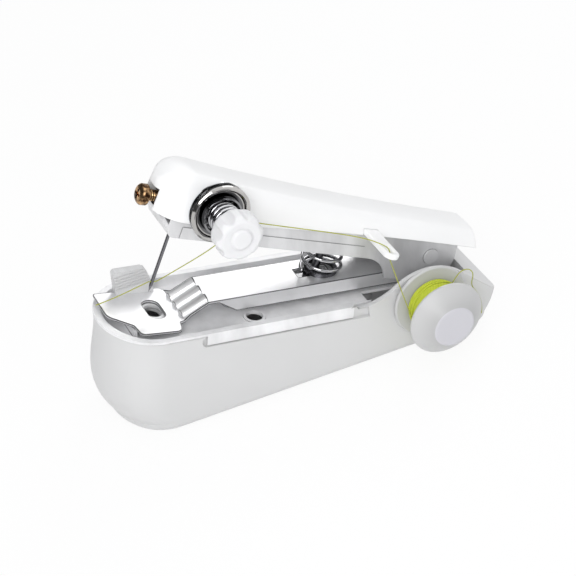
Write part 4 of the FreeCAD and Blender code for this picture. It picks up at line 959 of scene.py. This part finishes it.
@dataclass
class NeedleUnit(SubAssembly):
    """Needle, its block and the screw that clamps it, with sizes in millimetres."""

    screw_v: float = 5.5
    thread_start: float = 88.3
    thread_end: float = 93.75
    root: float = 1.51
    depth: float = 0.13
    pitch: float = 0.7
    steepness: float = 3.2
    samples: int = 110
    sides: int = 32

    def solids(self) -> Dressing:
        """The solids that show, by finish."""
        return {
            Finish.NEEDLE: ("needle",),
            Finish.WORKS: ("needle_block",),
            Finish.BRASS: ("needle_screw",),
        }

    def pieces(self) -> list[Piece]:
        """Cut the thread on the clamp screw's shank.

        The surface is a rod whose radius is root + depth * ridge(u / pitch - a / full turn), where a goes
        round the rod, u along it, and ridge rises and falls once in each pitch.

        Returns:
            The threaded rod, which turns with the screw.
        """
        along = np.linspace(self.thread_start, self.thread_end, self.samples)[:, None]
        angle = np.linspace(0.0, FULL_TURN, self.sides, endpoint=False)[None, :]
        phase = (along / self.pitch - angle / FULL_TURN) % 1.0
        ridge = np.clip(self.steepness * (0.5 - np.abs(phase - 0.5)), 0.0, 1.0)
        radius = self.root + self.depth * ridge
        aside, above = radius * np.cos(angle), self.screw_v + radius * np.sin(angle)
        rings = np.stack(np.broadcast_arrays(*ARM.world(along, aside, above)), axis=-1)
        uv = np.stack(np.broadcast_arrays(along, np.sin(angle)), axis=-1)
        rod = ring_piece("clamp_screw_thread", rings, uv)
        self.wardrobe.dress(rod, Finish.BRASS, "brass")
        return [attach(rod, "clamp_screw")]


@dataclass
class TensionUnit(SubAssembly):
    """Stud with two discs, a spring in its cup and the knob that presses it."""

    low: float = 13.0 * MM
    high: float = 18.75 * MM
    radius: float = 3.9 * MM
    wire: float = 0.55 * MM
    wire_sides: int = 14
    turns: float = 3.5
    samples: int = 253

    def solids(self) -> Dressing:
        """The solids that show, by finish."""
        return {
            Finish.KNOB: ("tension_knob",),
            Finish.DISC: ("tension_disc_front",),
            Finish.BRIGHT: ("tension_stud", "tension_disc_rear"),
            Finish.CUP: ("tension_cup",),
        }

    def pieces(self) -> list[Piece]:
        """Wind the spring round the stud.

        The centre line is the stud's axis + radius * (cos(t), sin(t)), rising evenly along the stud.

        Returns:
            The spring.
        """
        share = np.linspace(0.0, 1.0, self.samples)
        angle = FULL_TURN * self.turns * share
        along = self.low + (self.high - self.low) * share
        turns = np.stack([np.cos(angle), np.zeros_like(angle), np.sin(angle)], axis=1)
        path = np.array(TENSION_AXIS) + np.outer(along, Axis.SPOOL_SIDE.value) + self.radius * turns
        spring = tube("tension_spring_wire", path, self.wire, self.wire_sides, Axis.SPOOL_SIDE.value)
        self.wardrobe.dress(spring, Finish.WIRE, "spring_steel")
        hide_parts("tension_spring")
        return [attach(spring, "arm")]


# Spool and thread

@dataclass
class ThreadUnit(SubAssembly):
    """A sub-assembly with free stretches of thread."""

    strand_radius: float = 0.15 * MM
    strand_sides: int = 8

    def strand(self, name: str, route: list[Point], node: str, guide: Point) -> Piece:
        """Lay one stretch of thread along a smooth route and let it stand for its solid.

        Args:
            name: The piece's name.
            route: The route's points.
            node: The solid that the stretch stands for.
            guide: A direction that the route never runs along.

        Returns:
            The stretch of thread.
        """
        piece = tube(name, smooth_route(route), self.strand_radius, self.strand_sides, guide)
        self.wardrobe.dress(piece, Finish.FREE_THREAD, "thread")
        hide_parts(node)
        return piece


@dataclass(frozen=True)
class Lay:
    """How a layer of thread lies: its height over the pack in thread radii, and its unevenness."""

    lift: float
    wander: float
    phase: float


@dataclass
class ReelUnit(ThreadUnit):
    """Spool on its axle with the thread that is wound on it."""

    axis: Point = SPOOL_AXIS
    low: float = 19.2 * MM
    high: float = 27.5 * MM
    core: float = 7.5 * MM
    barrel: float = 4.5 * MM
    shoulder: float = 0.5 * MM
    shoulder_drop: float = 0.8
    pack_sides: int = 64
    pack_lay_per_mm: float = 4.0
    thread: float = 0.21 * MM
    thread_sides: int = 7
    samples_per_turn: int = 40
    pitch: float = 0.45 * MM
    flange_room: float = 0.1 * MM
    outer: Lay = Lay(0.6, 0.05 * MM, 0.4)
    strays: Lay = Lay(1.9, 0.9 * MM, 2.2)
    stray_insets: Span = (0.8 * MM, 1.0 * MM)
    stray_turns: float = 3.3
    wave_rates: Span = (0.37, 0.11)
    slow_wave_phase: float = 1.0
    bulge: float = 0.3
    # Places of the free end in millimetres from the axis, along and up
    end_steps: tuple[Span, ...] = ((3.5, 7.5), (5.2, 10.2), (7.4, 12.0), (9.9, 11.6), (11.3, 9.2),
                                   (10.2, 5.6), (12.6, 1.9), (14.0, -2.4), (13.8, -6.0))
    end_beside: float = 24.6 * MM
    end_guide: Point = (0.1, 1.0, 0.1)

    def solids(self) -> Dressing:
        """The solids that show, by finish."""
        return {
            Finish.SPOOL: ("spool",),
            Finish.BRIGHT: ("spool_axle",),
        }

    def place(self, radius: np.ndarray, angle: np.ndarray, along: np.ndarray) -> np.ndarray:
        """Points round the spool's axis."""
        x, z = self.axis[0] + radius * np.cos(angle), self.axis[2] + radius * np.sin(angle)
        return np.stack(np.broadcast_arrays(x, -along, z), axis=-1)

    def layer(self, name: str, lay: Lay, span: Span, turns: float) -> Piece:
        """Wind one layer.

        The line is radius * (cos(t), sin(t)) while it goes along the spool, wandering a little from an even
        pitch by the product of two slow waves.

        Args:
            name: The piece's name.
            lay: Its height and unevenness.
            span: Places of the first and last turn along the spool.
            turns: Number of turns.

        Returns:
            The wound thread.
        """
        share = np.linspace(0.0, 1.0, int(turns * self.samples_per_turn) + 1)
        angle = FULL_TURN * turns * share
        quick, slow = self.wave_rates
        waves = np.sin(angle * quick + lay.phase) * np.sin(angle * slow + self.slow_wave_phase)
        uneven = lay.wander * waves
        along = span[0] + (span[1] - span[0]) * share + uneven
        radius = self.core + lay.lift * self.thread + self.bulge * np.abs(uneven)
        path = self.place(radius, angle, along)
        return tube(name, path, self.thread, self.thread_sides, Axis.SPOOL_SIDE.value)

    def pack(self) -> Piece:
        """Fill the spool under the outer layer.

        The surface is a closed profile of radius and place along the spool, carried round the axis.

        Returns:
            The pack of thread.
        """
        edge = self.core - self.shoulder_drop * self.shoulder
        profile = np.array([
            [self.barrel, self.low], [edge, self.low], [self.core, self.low + self.shoulder],
            [self.core, self.high - self.shoulder], [edge, self.high], [self.barrel, self.high]])
        angle = np.linspace(0.0, FULL_TURN, self.pack_sides, endpoint=False)[None, :]
        rings = self.place(profile[:, :1], angle, profile[:, 1:])
        lay = profile[:, 1:] / MM * self.pack_lay_per_mm
        uv = np.stack(np.broadcast_arrays(lay, np.sin(angle)), axis=-1)
        return ring_piece("thread_core", rings, uv, Ends.JOINED)

    def loose_end(self) -> Piece:
        """Lay the free end, which stands off the spool in an open loop and hangs over its rim.

        Returns:
            The free end, which turns with the reel.
        """
        x, z = self.axis[0], self.axis[2]
        route = [(x + along * MM, -self.end_beside, z + up * MM) for along, up in self.end_steps]
        piece = self.strand("thread_loose_end", route, "thread_end", self.end_guide)
        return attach(piece, "reel")

    def pieces(self) -> list[Piece]:
        """Wind the pack and the layers that show.

        Returns:
            The pieces, riding on the reel.
        """
        core = self.pack()
        edge = self.thread + self.flange_room
        span = (self.low + edge, self.high - edge)
        outer = self.layer("thread_layer", self.outer, span, (span[1] - span[0]) / self.pitch)
        inside = (self.low + self.stray_insets[0], self.high - self.stray_insets[1])
        strays = self.layer("thread_strays", self.strays, inside, self.stray_turns)
        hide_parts("thread_pack")
        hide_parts("thread_winding")
        for piece in (core, outer, strays):
            self.wardrobe.dress(piece, Finish.THREAD, "thread")
            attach(piece, "reel")
        return [core, outer, strays, self.loose_end()]


@dataclass
class ThreadRun(ThreadUnit):
    """The thread's way from the spool through the guide, the discs and the needle's eye.

    Stations are places in the arm's own directions, in millimetres. A stretch's guide is a direction
    that it never runs along.
    """

    leave: Point = (28.1 * MM, -23.3 * MM, 15.8 * MM)
    guide_eye: Point = ARM.world(24.1, 21.0, 4.6)
    supply_sag: Point = (-0.25 * MM, 0.0, 0.0)
    supply_guide: Point = (0.0, 1.0, 0.0)
    disc_stations: tuple[Point, ...] = (
        (24.1, 21.0, 4.7), (24.3, 20.7, 7.0), (26.5, 18.2, 7.4), (32.0, 15.4, 7.4), (46.0, 13.6, 7.0),
        (64.1, 11.75, 6.4), (68.1, 11.05, 6.4), (72.8, 11.0, 6.0), (73.6, 10.98, -1.4))
    disc_guide: Point = (0.3, 0.9, 0.2)
    eye_stations: tuple[Point, ...] = (
        (73.62, 10.98, -1.5), (74.1, 10.65, -3.2), (81.0, 0.5, -20.3), (81.9, 0.0, -21.15),
        (83.35, 0.0, -21.2))
    eye_guide: Point = (1.0, 0.6, 0.3)
    needle_eye: Point = ARM.world(83.55, 0.0, -21.2)
    plate_edge: Point = (-56.1 * MM, 3.9 * MM, 36.55 * MM)
    tail_share: float = 0.55
    tail_sag: Point = (0.0, 0.0, -0.3 * MM)
    tail_hang: Point = (-1.5 * MM, 0.6 * MM, -0.5 * MM)
    tail_guide: Point = (0.0, 0.0, 1.0)
    bend_start: Point = (-44.5 * MM, 0.0, 0.0)
    bend_end: Point = (-42.6 * MM, 0.0, 0.0)

    def from_spool(self) -> Piece:
        """Lay the stretch from the spool up to the guide.

        Returns:
            The stretch of thread.
        """
        half_way = (np.array(self.leave) + np.array(self.guide_eye)) / 2.0 + np.array(self.supply_sag)
        route = [self.leave, tuple(half_way), self.guide_eye]
        piece = self.strand("thread_from_spool", route, "thread_supply", self.supply_guide)
        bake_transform(piece)
        return piece

    def to_discs(self) -> Piece:
        """Lay the stretch from the guide along the cover and between the discs."""
        route = [ARM.world(*station) for station in self.disc_stations]
        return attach(self.strand("thread_to_discs", route, "thread_feed", self.disc_guide), "arm")

    def to_eye(self) -> Piece:
        """Lay the stretch from the discs down to the needle's eye."""
        route = [ARM.world(*station) for station in self.eye_stations]
        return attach(self.strand("thread_to_eye", route, "thread_needle", self.eye_guide), "arm")

    def tail(self) -> Piece:
        """Lay the tail from the eye to the front plate's edge, which it hangs over.

        Returns:
            The stretch of thread.
        """
        start, over = np.array(self.needle_eye), np.array(self.plate_edge)
        half_way = start + self.tail_share * (over - start) + np.array(self.tail_sag)
        hang = over + np.array(self.tail_hang)
        route = [tuple(point) for point in (start, half_way, over, hang)]
        piece = self.strand("thread_tail_end", route, "thread_tail", self.tail_guide)
        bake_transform(piece)
        return piece

    def pieces(self) -> list[Piece]:
        """Lay every stretch."""
        return [self.from_spool(), self.to_discs(), self.to_eye(), self.tail()]


# Studio

def stand(data: bpy.types.ID, place: Vector, way: Vector, roll: float = 0.0) -> bpy.types.Object:
    """Put a camera or a lamp in its place.

    Args:
        data: Its settings.
        place: Where it stands.
        way: The direction that it looks in.
        roll: Degrees that it is turned about that direction.

    Returns:
        The new object.
    """
    item = bpy.data.objects.new(data.name, data)
    aim = way.to_track_quat("-Z", "Y").to_matrix() @ Matrix.Rotation(math.radians(roll), 3, "Z")
    item.matrix_world = Matrix.Translation(place) @ aim.to_4x4()
    bpy.context.scene.collection.objects.link(item)
    return item


@dataclass(frozen=True)
class Lamp:
    """A soft rectangular lamp, with its place and size in metres and its power in watts."""

    name: str
    place: Point
    size: Span
    power: float

    def hang(self, target: Vector) -> None:
        """Hang the lamp so that it points at a target.

        Args:
            target: The target.
        """
        data = bpy.data.lights.new(self.name, "AREA")
        data.shape = "RECTANGLE"
        data.size, data.size_y = self.size
        data.energy = self.power
        place = Vector(self.place)
        stand(data, place, target - place)


@dataclass
class Studio:
    """White floor, soft lamps and the camera at the photograph's angle."""

    azimuth: float = -22.316
    elevation: float = 36.263
    roll: float = 4.549
    distance: float = 0.55
    target: Point = (0.0, 0.0, 0.025)
    focal_pixels: float = 1882.9
    centre_x: float = 290.30
    centre_y: float = 284.16
    picture: float = 576.0
    sensor: float = 36.0
    nearest: float = 0.01
    sky: float = 0.50
    sky_colour: Colour = (0.97, 0.98, 1.0)
    mirrored: float = 1.15
    corner_way: Point = (0.9, 0.0, 1.0)
    corner_reach: Span = (0.50, 0.86)
    dark_corner: float = 0.06
    side_reach: Span = (-0.75, -0.2)
    dim_side: float = 0.9
    floor_white: float = 0.90
    floor_colour: Colour = (0.93, 0.93, 0.93)
    floor_roughness: float = 0.9
    floor_half: float = 1.5
    floor_drop: float = 0.1 * MM
    lamps: tuple[Lamp, ...] = (
        Lamp("overhead", (0.05, -0.10, 0.85), (0.9, 0.7), 1.1),
        Lamp("near", (-0.34, -0.55, 0.50), (0.5, 0.4), 3.6),
        Lamp("rim", (0.52, 0.44, 0.50), (0.5, 0.4), 1.4))

    def camera(self) -> None:
        """Set the camera up."""
        data = bpy.data.cameras.new("camera")
        data.sensor_width = self.sensor
        data.lens = self.focal_pixels / self.picture * data.sensor_width
        data.shift_x = (self.picture / 2.0 - self.centre_x) / self.picture
        data.shift_y = (self.centre_y - self.picture / 2.0) / self.picture
        data.clip_start = self.nearest
        turn, rise = math.radians(self.azimuth), math.radians(self.elevation)
        back = Vector((math.sin(turn) * math.cos(rise), -math.cos(turn) * math.cos(rise), math.sin(rise)))
        place = Vector(self.target) + back * self.distance
        bpy.context.scene.camera = stand(data, place, -back, -self.roll)

    def surround(self) -> None:
        """Light the room evenly, and give the metal a bright room with a dark corner to reflect."""
        world = bpy.data.worlds.new("room")
        bpy.context.scene.world = world
        world.use_nodes = True
        room = NodeTree(world.node_tree)
        output, place = room.add("OutputWorld"), room.add("TexCoord")
        slope = room.add("VectorMath")
        slope.operation = "DOT_PRODUCT"
        slope.inputs[1].default_value = self.corner_way
        room.link(place.outputs["Generated"], slope.inputs[0])
        split = room.add("SeparateXYZ")
        room.link(place.outputs["Generated"], split.inputs["Vector"])
        rise = room.spread(slope.outputs["Value"], self.corner_reach, (self.dark_corner, 1.0))
        front = room.spread(split.outputs["Y"], self.side_reach, (self.dim_side, 1.0))
        even = room.add("Background", Color=opaque(self.sky_colour), Strength=self.sky)
        mirrored = room.add("Background", Strength=self.mirrored)
        room.link(room.calculate("MULTIPLY", rise, front), mirrored.inputs["Color"])
        white = room.add("Background", Color=opaque(WHITE))
        shader = even.outputs["Background"]
        for share, other in ((room.any_ray("Is Glossy Ray"), mirrored),
                             (room.any_ray("Is Camera Ray", "Is Transmission Ray"), white)):
            shader = room.blend_shaders(share, shader, other.outputs["Background"])
        room.link(shader, output.inputs["Surface"])

    def floor(self) -> None:
        """Lay a white floor that keeps a pale shadow."""
        half, below = self.floor_half, -self.floor_drop
        sides = ((-half, -half), (half, -half), (half, half), (-half, half))
        corners = np.array([(x, y, below) for x, y in sides])
        plane = make_piece("floor", corners, [[0, 1, 2, 3]], corners[:, :2])
        bench = SurfaceBench("white_floor")
        bench.settle(Base_Color=opaque(self.floor_colour), Roughness=self.floor_roughness)
        glow = bench.add("Emission", Color=opaque(WHITE), Strength=1.0)
        seen = bench.any_ray("Is Camera Ray", "Is Glossy Ray", "Is Transmission Ray")
        share = bench.calculate("MULTIPLY", seen, self.floor_white)
        blend = bench.blend_shaders(share, bench.shader.outputs["BSDF"], glow.outputs["Emission"])
        bench.link(blend, bench.output.inputs["Surface"])
        plane.data.materials.append(bench.material)

    def build(self) -> None:
        """Set up the camera, the room, the floor and the lamps."""
        self.camera()
        self.surround()
        self.floor()
        for lamp in self.lamps:
            lamp.hang(Vector(self.target))
        bpy.context.scene.view_settings.view_transform = "Standard"


def main() -> None:
    """Load the frame and build every sub-assembly in order."""
    logging.basicConfig(level=logging.INFO, format="%(message)s")
    for item in list(bpy.data.objects):
        bpy.data.objects.remove(item)
    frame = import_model()
    Studio().build()
    wardrobe = Wardrobe(frame["nodes"])
    for assembly in (BaseUnit, LooperDrive, PresserUnit, ArmUnit, NeedleUnit, TensionUnit, ReelUnit,
                     ThreadRun):
        assembly(wardrobe).build()


if __name__ == "__main__":
    main()
